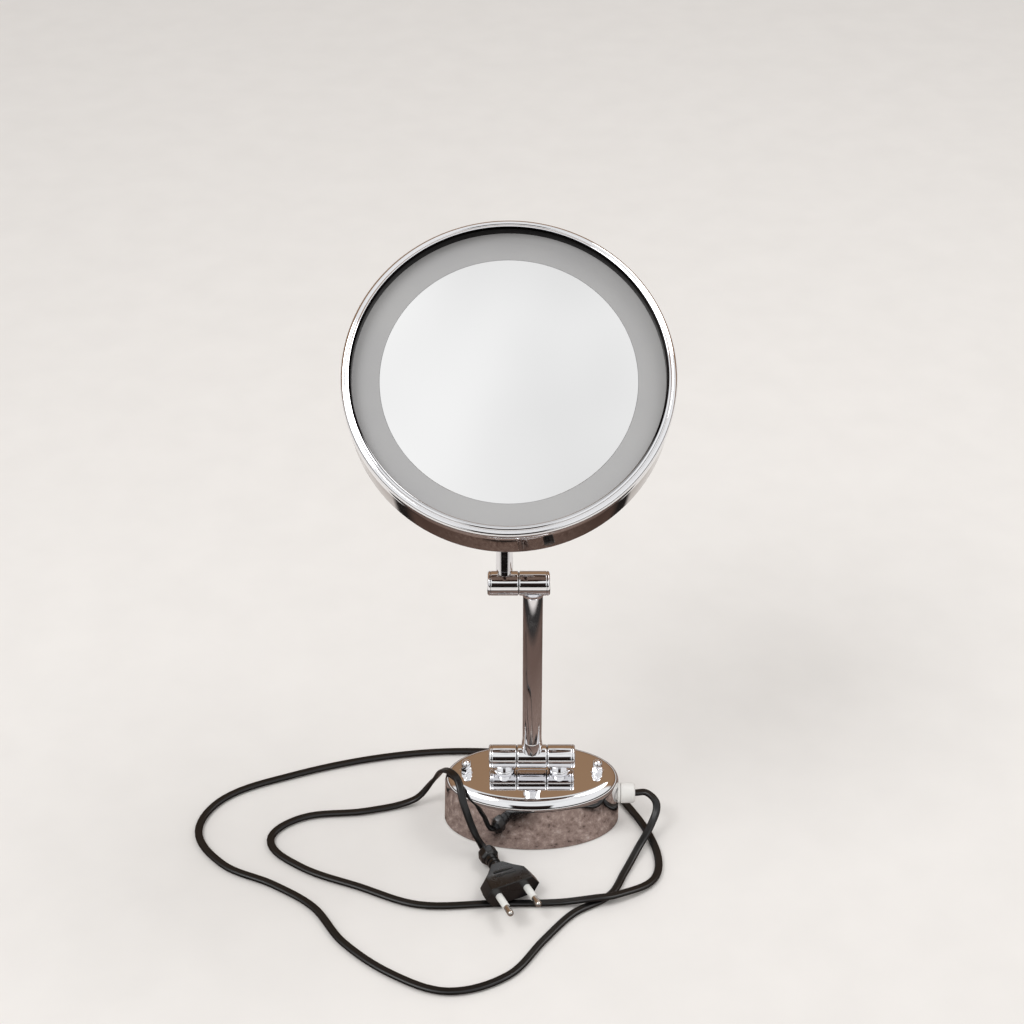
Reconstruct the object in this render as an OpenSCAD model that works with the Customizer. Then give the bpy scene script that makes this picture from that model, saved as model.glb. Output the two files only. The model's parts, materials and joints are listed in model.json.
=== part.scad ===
// Extendable shaving mirror: a round lit head on two side-by-side folding arms over an oval wall box.
// Millimetres, +Z away from the wall face, X along the hinge pins, -Y towards the user.
// The origin is the centre of the wall face, so the box rests on z = 0.

/* [Wall box] */
// Length of the oval box along X
base_len = 112.6; // [100:0.2:140]
// Width of the oval box along Y
base_wid = 61.6; // [52:0.2:80]
// Height of the box over the wall face
base_h = 38.2; // [37:0.2:50]
// Wall thickness of the chromed cover
cover_wall = 1.2; // [0.8:0.1:1.6]
// How far the side leans in at its top
cover_draft = 0.9; // [0:0.1:1.5]
// Radius of the cover's top edge
cover_round = 7; // [3:0.5:7.5]
// Thickness of the steel back plate
plate_t = 2; // [1.5:0.1:3]
// Distance between the two wall screws
wall_screw_gap = 70; // [64:1:74]
// Hole diameter for a wall screw
wall_screw_hole = 4.5; // [4:0.1:5]
// Distance between the two cover studs
stud_gap = 83.4; // [80:0.2:88]
// Stud diameter
stud_d = 4; // [4:1:5]
// How far the studs sit behind the long axis
stud_y = 1.5; // [0:0.5:3]

/* [Base hinge] */
// Outside diameter of the base and elbow barrels
barrel_d = 15; // [13:0.5:18]
// Length of the base barrel without its end caps
base_barrel = 51.2; // [46:0.2:60]
// Width of the middle knuckle
mid_knuckle = 18.7; // [15:0.1:20]
// Height of the hinge axis over the cover
hinge_over = 10.5; // [9.5:0.1:13]
// How far the hinge axis sits behind the long axis
hinge_y = 3.5; // [0:0.5:5]
// Distance between the two hinge feet
foot_gap = 35.2; // [32:0.2:38]
// Foot diameter
foot_d = 12; // [11:0.5:14]
// Hinge pin diameter at the base and the elbow
pin_d = 6; // [5:0.5:7]
// Thickness of a barrel end cap
cap_t = 1.8; // [1.2:0.1:3]
// Thickness of the friction washers
washer_t = 0.4; // [0.3:0.1:0.8]

/* [Arms] */
// Lower arm, axis to axis
lower_len = 132.3; // [90:0.1:180]
// Lower arm tube diameter
lower_d = 12; // [10:0.5:13]
// Backward lean of the lower arm as stored
lower_lean = 4.3; // [0:0.1:10]
// Width of one elbow knuckle
elbow_knuckle = 16.8; // [14:0.1:20]
// Upper arm, axis to axis
upper_len = 105.6; // [100:0.1:150]
// Upper arm tube diameter
upper_d = 10; // [8:0.5:10]
// Backward lean of the upper arm as stored
upper_lean = 21.2; // [10:0.1:30]
// Wall thickness of both tubes
tube_wall = 1; // [0.8:0.1:1.5]

/* [Head joint] */
// Barrel diameter of the head hinge
head_barrel_d = 14; // [12:0.5:16]
// Width of its middle knuckle
head_knuckle = 16; // [15:0.5:20]
// Width of each yoke ear
yoke_ear = 6.5; // [5:0.5:8]
// Pin diameter of the head joint
head_pin_d = 5; // [4:0.5:6]
// Sideways offset of the head from the upper arm
head_offset = 2.8; // [0:0.1:3]
// Forward turn of the head as stored
head_turn = 37.7; // [0:0.1:60]
// Distance from the hinge axis to the tilt pin
tilt_pin_out = 14.8; // [14:0.1:18]
// Distance from the hinge axis to the casing
standoff = 22; // [21.6:0.1:28]

/* [Head] */
// Outside diameter of the bezel
bezel_d = 188.2; // [160:0.2:230]
// Diameter of the diffuser ring at its outside
diffuser_d = 176; // [150:0.2:220]
// Diameter of the mirror disc
mirror_d = 145.4; // [120:0.2:180]
// Depth of the chromed casing
casing_depth = 33.5; // [28:0.5:45]
// Sheet thickness of the casing
casing_wall = 0.8; // [0.6:0.1:1.2]
// Radius of the casing's rear edge
casing_round = 5; // [3:0.5:8]
// Depth of the bezel ring
bezel_depth = 8; // [7.5:0.5:12]
// How far the diffuser's outer edge sits behind the rim
diffuser_drop = 6.8; // [5:0.1:7]
// How far the mirror sits behind the rim
mirror_drop = 9.6; // [8:0.1:12]
// Mirror glass thickness
glass_t = 3; // [2:0.5:5]
// Button diameter
button_d = 6; // [4:0.5:8]
// How far the button stands out of the casing
button_out = 2.4; // [1.5:0.1:4]
// Travel of the button
button_travel = 1.2; // [0.6:0.1:1.4]
// Angle of the button from the bottom of the head
button_angle = 13.7; // [0:0.1:40]
// Distance of the button behind the rim
button_back = 20; // [18:0.5:26]

/* [Mains lead] */
// Width of the flat twin lead
cord_w = 4.9; // [4.6:0.1:6]
// Thickness of the flat twin lead
cord_t = 2.8; // [2.6:0.1:3.2]
// Outside diameter of the gland cap
gland_d = 13.2; // [12:0.1:15]
// Height of the gland over the wall face
gland_z = 23; // [20:0.5:25]
// Distance of the gland in front of the long axis
gland_y = 3; // [2:0.5:5]
// Width of the plug across its corners
plug_w = 36; // [32:0.5:38]
// Height of the plug body
plug_h = 13.7; // [13:0.1:14]
// Distance between the plug pins
plug_pin_gap = 18.6; // [18:0.1:19]
// Length of the plug pins
plug_pin_len = 19; // [18:0.5:20]

/* [Hidden] */

run_fit = 0.05;        // radial clearance of a turning pin
still_fit = 0.01;      // radial clearance of a pin that stays put
clear = 0.3;           // gap between parts that don't touch
oval_sides = 96;       // sides of the oval box
$fn = 64;

half_len = base_len / 2;
half_wid = base_wid / 2;
hinge_z = base_h + hinge_over;
barrel_r = barrel_d / 2;
end_round = 0.8;                             // small radius on the barrel ends
foot_flange_t = 1.2;
nipple_d = 8;                                // hollow threaded end of a hinge foot
nipple_len = 7;
lead_bore = 4;                               // way for the lamp lead
lamp_lead_d = 2.6;
foot_nut_t = 3.5;
foot_nut_w = 13;
foot_washer_t = 0.8;
stud_x = stud_gap / 2;
nut_washer_t = 0.8;
nut_h = 8;                                   // domed nut, hexagon and dome together
nut_hex_h = 3.4;
nut_across = 7.66;                           // across the corners
dome_d = 6.5;
stud_top = base_h + nut_washer_t + 5.6;
outer_knuckle = (base_barrel - mid_knuckle) / 2 - washer_t - clear / 4;
mid_play = clear / 4;                        // side play in the base hinge

lower_bore = lower_d - 2 * tube_wall;
upper_bore = upper_d - 2 * tube_wall;
spigot_len = 10;
socket_out = barrel_r + 0.7;                 // where a tube starts, from its hinge axis
ferrule_d = lower_d + 1.6;
ferrule_end = 13.5;
arm_gap = elbow_knuckle + washer_t;          // distance between the two arms
elbow_y = hinge_y + lower_len * sin(lower_lean);
elbow_z = hinge_z + lower_len * cos(lower_lean);
head_y = elbow_y + upper_len * sin(upper_lean);
head_z = elbow_z + upper_len * cos(upper_lean);
head_x = head_offset - arm_gap;
head_r = head_barrel_d / 2;
ear_x = head_knuckle / 2 + washer_t;         // inner face of a yoke ear
head_cap_t = 1.4;

bracket_t = 2.6;
bracket_d = 44;
bracket_screw_pcd = 34;
tongue_half = 4;
lug_t = 4;
tilt_pin_d = 4;
lug_y = tongue_half + clear;

bezel_r = bezel_d / 2;
diffuser_r = diffuser_d / 2;
mirror_r = mirror_d / 2;
casing_r = bezel_r - 0.9;
casing_front = bezel_depth - 1.5;            // the casing's lip sits inside the bezel
rim_z = standoff + casing_front + casing_depth;
lip_r = casing_r - casing_wall;
diffuser_t = 1.8;
tray_t = 1;
tray_floor = rim_z - mirror_drop - glass_t - 5;
board_t = 1.2;
board_out_r = diffuser_r - 6;
board_in_r = mirror_r + 2;
chip_count = 36;
chip_w = 3;
chip_t = 0.8;
chip_ring_r = (board_out_r + board_in_r) / 2;
button_z = rim_z - button_back;
switch_w = 12;
switch_h = 9;
switch_t = 8;
switch_gap = 1.8;                            // from the casing's sheet to the switch

gland_x = half_len + 0.2;                    // outer face of the gland's flange
gland_end = gland_x + 9.5;
gland_bore = 8.2;
gland_thread = 9.6;
gland_in = 48;                                // inner end of the gland's thread
cap_lip = 2.2;                                // thickness of the gland cap's face
seal_d = gland_bore - 0.1;
core_len = 36;
core_wid = 20;
core_h = 25;
core_x = -2;
core_leg = core_len / 6;
strap_t = 1.2;
strap_w = 10;
strap_foot = 8;
m3 = 3;

// centre line of the mains lead from the gland to the plug
lead_points = [
  [gland_end, -gland_y, gland_z], [74, -2.8, 22.6], [80, -8, 17.5], [76.5, -18, 10.5], [67.5, -33, 4.2],
  [58, -52, 1.9], [48, -71, 1.6], [25, -86, 1.6], [7, -107, 1.6], [-15, -135, 1.6],
  [-50, -147, 1.6], [-84, -134, 1.6], [-115, -109, 1.6], [-135, -81, 1.6], [-162, -62, 1.6],
  [-195, -45, 1.6], [-214, -16, 1.6], [-201, 14, 1.6], [-160, 35, 1.6], [-105, 52, 1.6],
  [-50, 59, 1.6], [2, 54, 1.6], [42, 34, 1.6], [65, 3, 1.6], [79, -33, 1.6],
  [76, -58, 2], [53, -73.5, 4.8], [38, -77, 5.3], [15, -77.5, 2], [-24, -78, 1.6],
  [-70, -79, 1.6], [-108, -64, 1.6], [-146, -47, 1.6], [-167, -24, 1.6], [-149, -4, 1.6],
  [-108, 2, 1.8], [-77, 10, 4], [-64, 12, 19], [-56, 2, 38], [-47.5, -10.5, 42.5],
  [-43, -24, 33.5], [-36.5, -32, 17]];
lead_last = 2;                               // rings between two points of the lead
lead_sides = 8;

// the plug lies with its nose on the lead, in its own frame with +X out along the pins
plug_face = [-12, -77, 10.9];
plug_heading = -66;
plug_tilt = -6.5;
plug_neck_len = 25;
bulb_back = 44;                              // rear end of the strain relief behind the face
bulb_r = 6;
neck_r = 4.2;
sleeve_len = 11;
sleeve_d = 4.6;
plug_pin_d = 3.6;
plug_tip_d = 4;

function unit(v) = v / norm(v);
function turn_y(v, a) = [v.x * cos(a) + v.z * sin(a), v.y, v.z * cos(a) - v.x * sin(a)];
function turn_z(v, a) = [v.x * cos(a) - v.y * sin(a), v.x * sin(a) + v.y * cos(a), v.z];
function plug_point(v) = plug_face + turn_z(turn_y(v, plug_tilt), plug_heading);

// the lead as one smooth curve: each point's direction is that of its two neighbours
route = concat(lead_points, [plug_point([-bulb_back, 0, 0])]);
route_last = len(route) - 1;
function way(i) =
  i == 0 ? [1, 0, 0] :
  i == route_last ? unit(plug_point([0, 0, 0]) - plug_point([-1, 0, 0])) :
  unit(route[i + 1] - route[i - 1]);
function on_curve(i, t) =
  let (a = route[i], b = route[i + 1], reach = norm(b - a))
  (2 * t * t * t - 3 * t * t + 1) * a + (t * t * t - 2 * t * t + t) * reach * way(i)
  + (3 * t * t - 2 * t * t * t) * b + (t * t * t - t * t) * reach * way(i + 1);
function slope(i, t) =
  let (a = route[i], b = route[i + 1], reach = norm(b - a))
  unit((6 * t * t - 6 * t) * (a - b) + (3 * t * t - 4 * t + 1) * reach * way(i)
  + (3 * t * t - 2 * t) * reach * way(i + 1));
function lead_ring(centre, along) =
  let (side = unit(cross([0, 0, 1], along)), up = cross(along, side))
  [for (k = [0 : lead_sides - 1])
    let (a = 360 * (k + 0.5) / lead_sides, grow = 1 / cos(180 / lead_sides))
    centre + side * grow * cord_w / 2 * cos(a) + up * grow * cord_t / 2 * sin(a)];

// a closed tube through rings of the same number of points
module skin(rings, sides) {
  count = len(rings);
  points = [for (r = rings) each r];
  walls = [for (i = [0 : count - 2], k = [0 : sides - 1])
    let (m = (k + 1) % sides)
    each [[i * sides + k, i * sides + m, (i + 1) * sides + m],
          [i * sides + k, (i + 1) * sides + m, (i + 1) * sides + k]]];
  first = [[for (k = [sides - 1 : -1 : 0]) k]];
  last = [[for (k = [0 : sides - 1]) (count - 1) * sides + k]];
  polyhedron(points, concat(walls, first, last));
}

function oval_ring(a, b, z) =
  [for (k = [0 : oval_sides - 1]) [a * cos(360 * k / oval_sides), b * sin(360 * k / oval_sides), z]];

// the oval box, shrunk all round by inset, with its top at top and its floor at bottom
module oval_box(inset, top, bottom) {
  round_r = cover_round - inset;
  bend = [for (q = [0 : 15 : 90]) [round_r * (1 - cos(q)), top - round_r + round_r * sin(q)]];
  a = half_len - inset;
  b = half_wid - inset;
  rings = concat([oval_ring(a, b, bottom)],
    [for (p = bend) oval_ring(a - cover_draft - p[0], b - cover_draft - p[0], p[1])]);
  reversed = [for (r = rings) [for (k = [oval_sides - 1 : -1 : 0]) r[k]]];
  skin(reversed, oval_sides);
}

module oval_plate(inset, height) {
  linear_extrude(height)
    polygon([for (k = [0 : oval_sides - 1])
      [(half_len - inset) * cos(360 * k / oval_sides), (half_wid - inset) * sin(360 * k / oval_sides)]]);
}

// a cylinder along X from x0 to x1
module bar_x(d, x0, x1, sides = 64) {
  translate([x0, 0, 0]) rotate([0, 90, 0]) cylinder(d = d, h = x1 - x0, $fn = sides);
}

// a barrel along X with softened ends
module barrel(d, x0, x1) {
  r = d / 2;
  e = end_round;
  translate([x0, 0, 0]) rotate([0, 90, 0])
    rotate_extrude()
      polygon([[0, 0], [r - e, 0], [r - e * 0.3, e * 0.3], [r, e], [r, x1 - x0 - e],
        [r - e * 0.3, x1 - x0 - e * 0.3], [r - e, x1 - x0], [0, x1 - x0]]);
}

// a barrel end cap whose flat face is at x = 0 and whose round face looks along +X
module end_cap(d, t) {
  r = d / 2;
  rotate([0, 90, 0])
    rotate_extrude()
      polygon(concat([[0, 0], [r, 0]],
        [for (q = [0 : 15 : 90]) [r - t * 0.8 + t * 0.8 * cos(q), t * 0.2 + t * 0.8 * sin(q)]],
        [[0, t]]));
}

module ring_x(d, hole, x0, x1) {
  difference() {
    bar_x(d, x0, x1);
    bar_x(hole, x0 - 1, x1 + 1);
  }
}

// a rod between two points
module rod(a, b, d) {
  v = b - a;
  translate(a)
    rotate([0, acos(v.z / norm(v)), atan2(v.y, v.x)])
      cylinder(d = d, h = norm(v), $fn = 24);
}

module wire(points, d) {
  for (i = [0 : len(points) - 2]) rod(points[i], points[i + 1], d);
  for (i = [1 : len(points) - 2]) translate(points[i]) sphere(d = d * 1.06, $fn = 24);
}

module hexagon(across, height) {
  cylinder(d = across, h = height, $fn = 6);
}

module at_studs() {
  for (side = [-1, 1]) translate([side * stud_x, stud_y, 0]) children();
}

module at_feet() {
  for (side = [-1, 1]) translate([side * foot_gap / 2, hinge_y, 0]) children();
}

module at_base_hinge() {
  translate([0, hinge_y, hinge_z]) children();
}

// the lower arm's frame: origin on the base hinge axis, +Z along the tube
module at_lower() {
  translate([0, hinge_y, hinge_z]) rotate([-lower_lean, 0, 0]) children();
}

module at_elbow() {
  translate([0, elbow_y, elbow_z]) children();
}

// the upper arm's frame: origin on the elbow axis in the tube's plane, +Z along the tube
module at_upper() {
  translate([-arm_gap, elbow_y, elbow_z]) rotate([-upper_lean, 0, 0]) children();
}

// the head's frame: origin on the head hinge axis, +Z out of the mirror's face
module at_head() {
  translate([head_x, head_y, head_z]) rotate([head_turn, 0, 0]) children();
}

module at_gland() {
  translate([0, -gland_y, gland_z]) children();
}

module at_plug() {
  translate(plug_face) rotate([0, 0, plug_heading]) rotate([0, plug_tilt, 0]) children();
}

// the button's frame: origin on the casing's outside, +Z outwards
module at_button() {
  at_head() translate([0, 0, button_z]) rotate([0, 0, button_angle - 90])
    translate([casing_r, 0, 0]) rotate([0, 90, 0]) children();
}

// ---- wall box -------------------------------------------------------------

module wall_cover() {
  color("silver") difference() {
    oval_box(0, base_h, 0);
    oval_box(cover_wall, base_h - cover_wall, -1);
    at_studs() translate([0, 0, base_h - 5]) cylinder(d = stud_d + 2 * clear, h = 10);
    at_feet() translate([0, 0, base_h - 5]) cylinder(d = nipple_d + 2 * clear, h = 10);
    at_gland() bar_x(gland_thread + 2 * clear, half_len - 10, half_len + 5);
  }
}

module mounting_plate() {
  color("gainsboro") difference() {
    oval_plate(cover_wall + clear + cover_draft * plate_t / base_h, plate_t);
    for (side = [-1, 1]) translate([side * wall_screw_gap / 2, 0, -1])
      cylinder(d = wall_screw_hole, h = plate_t + 2);
    for (x = strap_holes()) translate([x, 0, -1]) cylinder(d = m3 + 2 * still_fit, h = plate_t + 2);
    at_studs() translate([0, 0, -1]) cylinder(d = stud_d + 2 * still_fit, h = plate_t + 2);
  }
}

module mounting_studs() {
  color("lightgray") at_studs() cylinder(d = stud_d, h = stud_top);
}

module acorn_nuts() {
  color("silver") at_studs() translate([0, 0, base_h + nut_washer_t]) difference() {
    union() {
      hexagon(nut_across, nut_hex_h);
      cylinder(d = dome_d, h = nut_h - dome_d / 2);
      translate([0, 0, nut_h - dome_d / 2]) sphere(d = dome_d);
    }
    translate([0, 0, -1]) cylinder(d = stud_d + 2 * still_fit, h = 7);
  }
}

module nut_washers() {
  color("silver") at_studs() translate([0, 0, base_h]) difference() {
    cylinder(d = nut_across + 0.8, h = nut_washer_t);
    translate([0, 0, -1]) cylinder(d = stud_d + 2 * still_fit, h = 3);
  }
}

// ---- base hinge -----------------------------------------------------------

module hinge_foot(side) {
  inner = mid_knuckle / 2 + mid_play + washer_t;
  outer = base_barrel / 2;
  x0 = side > 0 ? inner : -outer;
  x1 = side > 0 ? outer : -inner;
  difference() {
    union() {
      at_base_hinge() barrel(barrel_d, x0, x1);
      translate([side * foot_gap / 2, hinge_y, base_h]) {
        cylinder(d = foot_d, h = hinge_over);
        cylinder(d = foot_d + 1.6, h = foot_flange_t);
        translate([0, 0, -nipple_len]) cylinder(d = nipple_d, h = nipple_len);
      }
    }
    at_base_hinge() bar_x(pin_d + 2 * still_fit, x0 - 1, x1 + 1);
    translate([side * foot_gap / 2, hinge_y, base_h - nipple_len - 1])
      cylinder(d = lead_bore, h = nipple_len + hinge_over);
  }
}

module hinge_foot_left() {
  color("silver") hinge_foot(-1);
}

module hinge_foot_right() {
  color("silver") hinge_foot(1);
}

module hinge_foot_washers() {
  z = base_h - cover_wall - foot_washer_t;
  color("lightgray") at_feet() translate([0, 0, z]) difference() {
    cylinder(d = foot_nut_w + 1, h = foot_washer_t);
    translate([0, 0, -1]) cylinder(d = nipple_d + 2 * still_fit, h = 3);
  }
}

module hinge_foot_nuts() {
  z = base_h - cover_wall - foot_washer_t - foot_nut_t;
  color("lightgray") at_feet() translate([0, 0, z]) difference() {
    hexagon(foot_nut_w, foot_nut_t);
    translate([0, 0, -1]) cylinder(d = nipple_d + 2 * still_fit, h = foot_nut_t + 2);
  }
}

module base_hinge_pin() {
  half = base_barrel / 2;
  color("lightgray") at_base_hinge() difference() {
    bar_x(pin_d, -half, half);
    bar_x(lead_bore - 1, -1.5, foot_gap / 2 + 1.5);
    translate([foot_gap / 2, 0, -pin_d]) cylinder(d = lead_bore - 1, h = pin_d);
    cylinder(d = lead_bore - 1, h = pin_d);
  }
}

module base_hinge_caps() {
  color("silver") at_base_hinge() {
    translate([base_barrel / 2, 0, 0]) end_cap(barrel_d, cap_t);
    translate([-base_barrel / 2, 0, 0]) mirror([1, 0, 0]) end_cap(barrel_d, cap_t);
  }
}

module base_hinge_washers() {
  inner = mid_knuckle / 2 + mid_play;
  color("dimgray") at_base_hinge() for (side = [-1, 1])
    mirror([side < 0 ? 1 : 0, 0, 0])
      ring_x(barrel_d - 1.6, pin_d + 2 * still_fit, inner, inner + washer_t);
}

// ---- mains lead, gland and plug -------------------------------------------

module gland_body() {
  color("white") difference() {
    union() {
      difference() {
        at_gland() bar_x(gland_d - 0.4, half_len - 5, gland_x);
        oval_box(0, base_h, 0);
      }
      at_gland() bar_x(gland_thread, gland_in, gland_x);
      at_gland() bar_x(gland_thread + 0.6, gland_x - 0.5, gland_end - cap_lip);
    }
    at_gland() bar_x(gland_bore, gland_in - 5, gland_end + 5);
  }
}

module gland_cap() {
  r = gland_d / 2;
  inner = gland_thread / 2 + 0.4;
  length = gland_end - gland_x - 0.4;
  color("white") at_gland() translate([gland_x + 0.4, 0, 0]) rotate([0, 90, 0])
    rotate_extrude()
      polygon([[inner, 0], [r - 0.3, 0], [r, 0.4], [r - 0.2, length - 1.4], [r - 0.6, length - 0.5],
        [r - 1.5, length], [gland_bore / 2, length], [gland_bore / 2, length - cap_lip],
        [inner, length - cap_lip]]);
}

module gland_locknut() {
  color("whitesmoke") at_gland() translate([gland_in + 0.2, 0, 0]) difference() {
    rotate([0, 90, 0]) hexagon(14, 3);
    bar_x(gland_thread + 2 * still_fit, -1, 4);
  }
}

module lead_slot(w, t, x0, x1) {
  translate([x0, 0, 0]) rotate([90, 0, 90]) linear_extrude(x1 - x0) union() {
    square([w - t, t], center = true);
    for (side = [-1, 1]) translate([side * (w - t) / 2, 0]) circle(d = t, $fn = 32);
  }
}

module gland_seal() {
  color("dimgray") at_gland() difference() {
    bar_x(seal_d, gland_in + 1, gland_end);
    lead_slot(cord_w + 0.1, cord_t + 0.1, gland_in, gland_end + 2);
  }
}

module lead_tail() {
  color([0.08, 0.08, 0.08]) at_gland() lead_slot(cord_w, cord_t, gland_in - 2, gland_end);
}

module lead_cores() {
  start = gland_in - 2;
  block = terminal_place();
  color("royalblue") for (side = [-1, 1])
    wire([[start, -gland_y + side * 1.25, gland_z],
      [start - 3, -gland_y + side * 1.25, gland_z],
      [start - 9, -gland_y - 4 + side * 1.25, gland_z - 4],
      [block.x + 15, block.y + 5 + side * 2.5, block.z + 6],
      [block.x + 8.2, block.y + 5 + side * 2.5, block.z + 6]], 1.8);
}

module power_cord() {
  rings = concat(
    [for (i = [0 : route_last - 1], s = [0 : lead_last - 1])
      lead_ring(on_curve(i, s / lead_last), slope(i, s / lead_last))],
    [lead_ring(route[route_last], way(route_last))]);
  color([0.08, 0.08, 0.08]) skin(rings, lead_sides);
}

module plug_slab(x, w, h) {
  slant = 4.5 * w / plug_w;
  translate([x, 0, 0]) rotate([90, 0, 90]) linear_extrude(0.1)
    polygon([[-w / 2, 0], [-w / 2 + slant, h / 2], [w / 2 - slant, h / 2], [w / 2, 0],
      [w / 2 - slant, -h / 2], [-w / 2 + slant, -h / 2]]);
}

module plug_body() {
  sections = [[-0.1, 1, 1], [-5, 1, 1], [-12, 0.95, 0.95], [-18, 0.6, 0.8], [-plug_neck_len, 0.28, 0.62]];
  color([0.08, 0.08, 0.08]) at_plug() difference() {
    union() {
      for (i = [0 : len(sections) - 2]) hull() for (s = [sections[i], sections[i + 1]])
        plug_slab(s[0], plug_w * s[1], plug_h * s[2]);
      for (x = [-10.8, -14.6]) translate([x, -plug_w * 0.2, 0])
        cube([1.6, plug_w * 0.4, plug_h / 2 - (x < -12 ? 0.4 : 0)]);
    }
    for (side = [-1, 1]) translate([0, side * plug_pin_gap / 2, 0]) {
      bar_x(plug_pin_d + 2 * still_fit, -4, 1);
      bar_x(sleeve_d + 2 * still_fit, -2, 1);
    }
  }
}

module plug_strain_relief() {
  e = -plug_neck_len;
  b = -bulb_back;
  color([0.1, 0.1, 0.1]) at_plug() rotate([0, 90, 0])
    rotate_extrude($fn = 48)
      polygon([[0, b], [4.2, b], [bulb_r - 0.8, b + 1.4], [bulb_r, b + 3], [bulb_r, b + 8],
        [bulb_r - 0.8, b + 9.6], [neck_r, b + 10.6], [neck_r, e], [0, e]]);
}

module plug_pins() {
  color("lightgray") at_plug() for (side = [-1, 1]) translate([0, side * plug_pin_gap / 2, 0]) {
    bar_x(plug_pin_d, -4, plug_pin_len - 2, 32);
    bar_x(plug_tip_d, plug_pin_len - 5, plug_pin_len - 2, 32);
    translate([plug_pin_len - 2, 0, 0]) sphere(d = plug_tip_d, $fn = 32);
  }
}

module plug_pin_sleeves() {
  color("white") at_plug() for (side = [-1, 1]) translate([0, side * plug_pin_gap / 2, 0])
    ring_x(sleeve_d, plug_pin_d + 2 * still_fit, -2, sleeve_len);
}

// ---- inside the wall box --------------------------------------------------

function strap_holes() =
  [core_x - core_len / 2 - strap_t - strap_foot / 2, core_x + core_len / 2 + strap_t + strap_foot / 2];
function terminal_place() = [22, 9, plate_t];

module transformer_core() {
  window_h = core_h - 2 * core_leg;
  color("slategray") translate([core_x, 0, plate_t]) difference() {
    translate([-core_len / 2, -core_wid / 2, 0]) cube([core_len, core_wid, core_h]);
    for (side = [-1, 1]) translate([side * core_leg * 1.5 - core_leg / 2, -core_wid, core_leg])
      cube([core_leg, 2 * core_wid, window_h]);
  }
}

module transformer_coil() {
  gap = 0.2;
  window_h = core_h - 2 * core_leg;
  half = core_leg * 2 - gap;
  deep = core_wid / 2 + core_leg;
  color("chocolate") translate([core_x, 0, plate_t + core_leg + gap]) difference() {
    translate([-half, -deep, 0]) cube([2 * half, 2 * deep, window_h - 2 * gap]);
    translate([-core_leg - gap, -core_wid / 2 - gap, -1])
      cube([2 * core_leg + 2 * gap, core_wid + 2 * gap, window_h + 2]);
  }
}

module transformer_strap() {
  x0 = core_x - core_len / 2;
  x1 = core_x + core_len / 2;
  color("gainsboro") translate([0, -strap_w / 2, plate_t]) difference() {
    union() {
      translate([x0 - strap_t, 0, core_h]) cube([core_len + 2 * strap_t, strap_w, strap_t]);
      translate([x0 - strap_t, 0, 0]) cube([strap_t, strap_w, core_h + strap_t]);
      translate([x1, 0, 0]) cube([strap_t, strap_w, core_h + strap_t]);
      translate([x0 - strap_t - strap_foot, 0, 0]) cube([strap_foot + strap_t, strap_w, strap_t]);
      translate([x1, 0, 0]) cube([strap_foot + strap_t, strap_w, strap_t]);
    }
    for (x = strap_holes()) translate([x, strap_w / 2, -1])
      cylinder(d = m3 + 2 * still_fit, h = strap_t + 2);
  }
}

module strap_screws() {
  color("lightgray") for (x = strap_holes()) translate([x, 0, 0]) {
    translate([0, 0, 0.2]) cylinder(d = m3, h = plate_t + strap_t);
    translate([0, 0, plate_t + strap_t]) difference() {
      cylinder(d = 5.6, h = 2.2);
      translate([-0.4, -4, 1.2]) cube([0.8, 8, 2]);
    }
  }
}

module terminal_block() {
  color("white") translate(terminal_place()) difference() {
    cube([12, 10, 12]);
    for (y = [2.5, 7.5]) {
      translate([6, y, 7]) cylinder(d = 3 + 2 * still_fit, h = 6);
      translate([0, y, 6]) bar_x(2.2, 8, 13, 24);
    }
  }
}

module terminal_screws() {
  color("lightgray") translate(terminal_place()) for (y = [2.5, 7.5]) translate([6, y, 7.6])
    difference() {
      cylinder(d = 3, h = 3.6);
      translate([-2, -0.3, 2.8]) cube([4, 0.6, 2]);
    }
}

// the low-voltage lead from the coil up into the right hinge foot
module lamp_lead_base() {
  x = foot_gap / 2;
  coil_top = plate_t + core_h - core_leg - 0.2;
  side_x = core_x + core_len / 2 + strap_t + 1.8;
  mouth = base_h - nipple_len - 0.7;
  color("whitesmoke") wire([[core_x + 8, 13, coil_top], [core_x + 8, 13, coil_top + 2.5],
    [side_x, 13, coil_top + 4], [side_x, 7.5, mouth - 2.2], [x, hinge_y, mouth],
    [x, hinge_y, hinge_z - pin_d / 2 - 0.4]], lamp_lead_d);
}

// ---- lower arm ------------------------------------------------------------

module base_centre_knuckle() {
  half = mid_knuckle / 2;
  color("silver") difference() {
    union() {
      at_base_hinge() barrel(barrel_d, -half, half);
      at_lower() cylinder(d = lower_d, h = socket_out);
      at_lower() cylinder(d = lower_bore - 2 * still_fit, h = socket_out + spigot_len);
    }
    at_base_hinge() bar_x(pin_d + 2 * run_fit, -half - 1, half + 1);
    at_lower() cylinder(d = lead_bore, h = socket_out + spigot_len + 1);
  }
}

module lower_arm_ferrule() {
  color("silver") difference() {
    at_lower() translate([0, 0, 3]) cylinder(d = ferrule_d, h = ferrule_end - 3);
    at_lower() cylinder(d = lower_d + 2 * still_fit, h = ferrule_end + 1);
    at_base_hinge() bar_x(barrel_d + 2 * still_fit, -20, 20);
  }
}

module lower_arm_tube() {
  color("silver") at_lower() translate([0, 0, socket_out]) difference() {
    cylinder(d = lower_d, h = lower_len - 2 * socket_out);
    translate([0, 0, -1]) cylinder(d = lower_bore, h = lower_len);
  }
}

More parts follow.
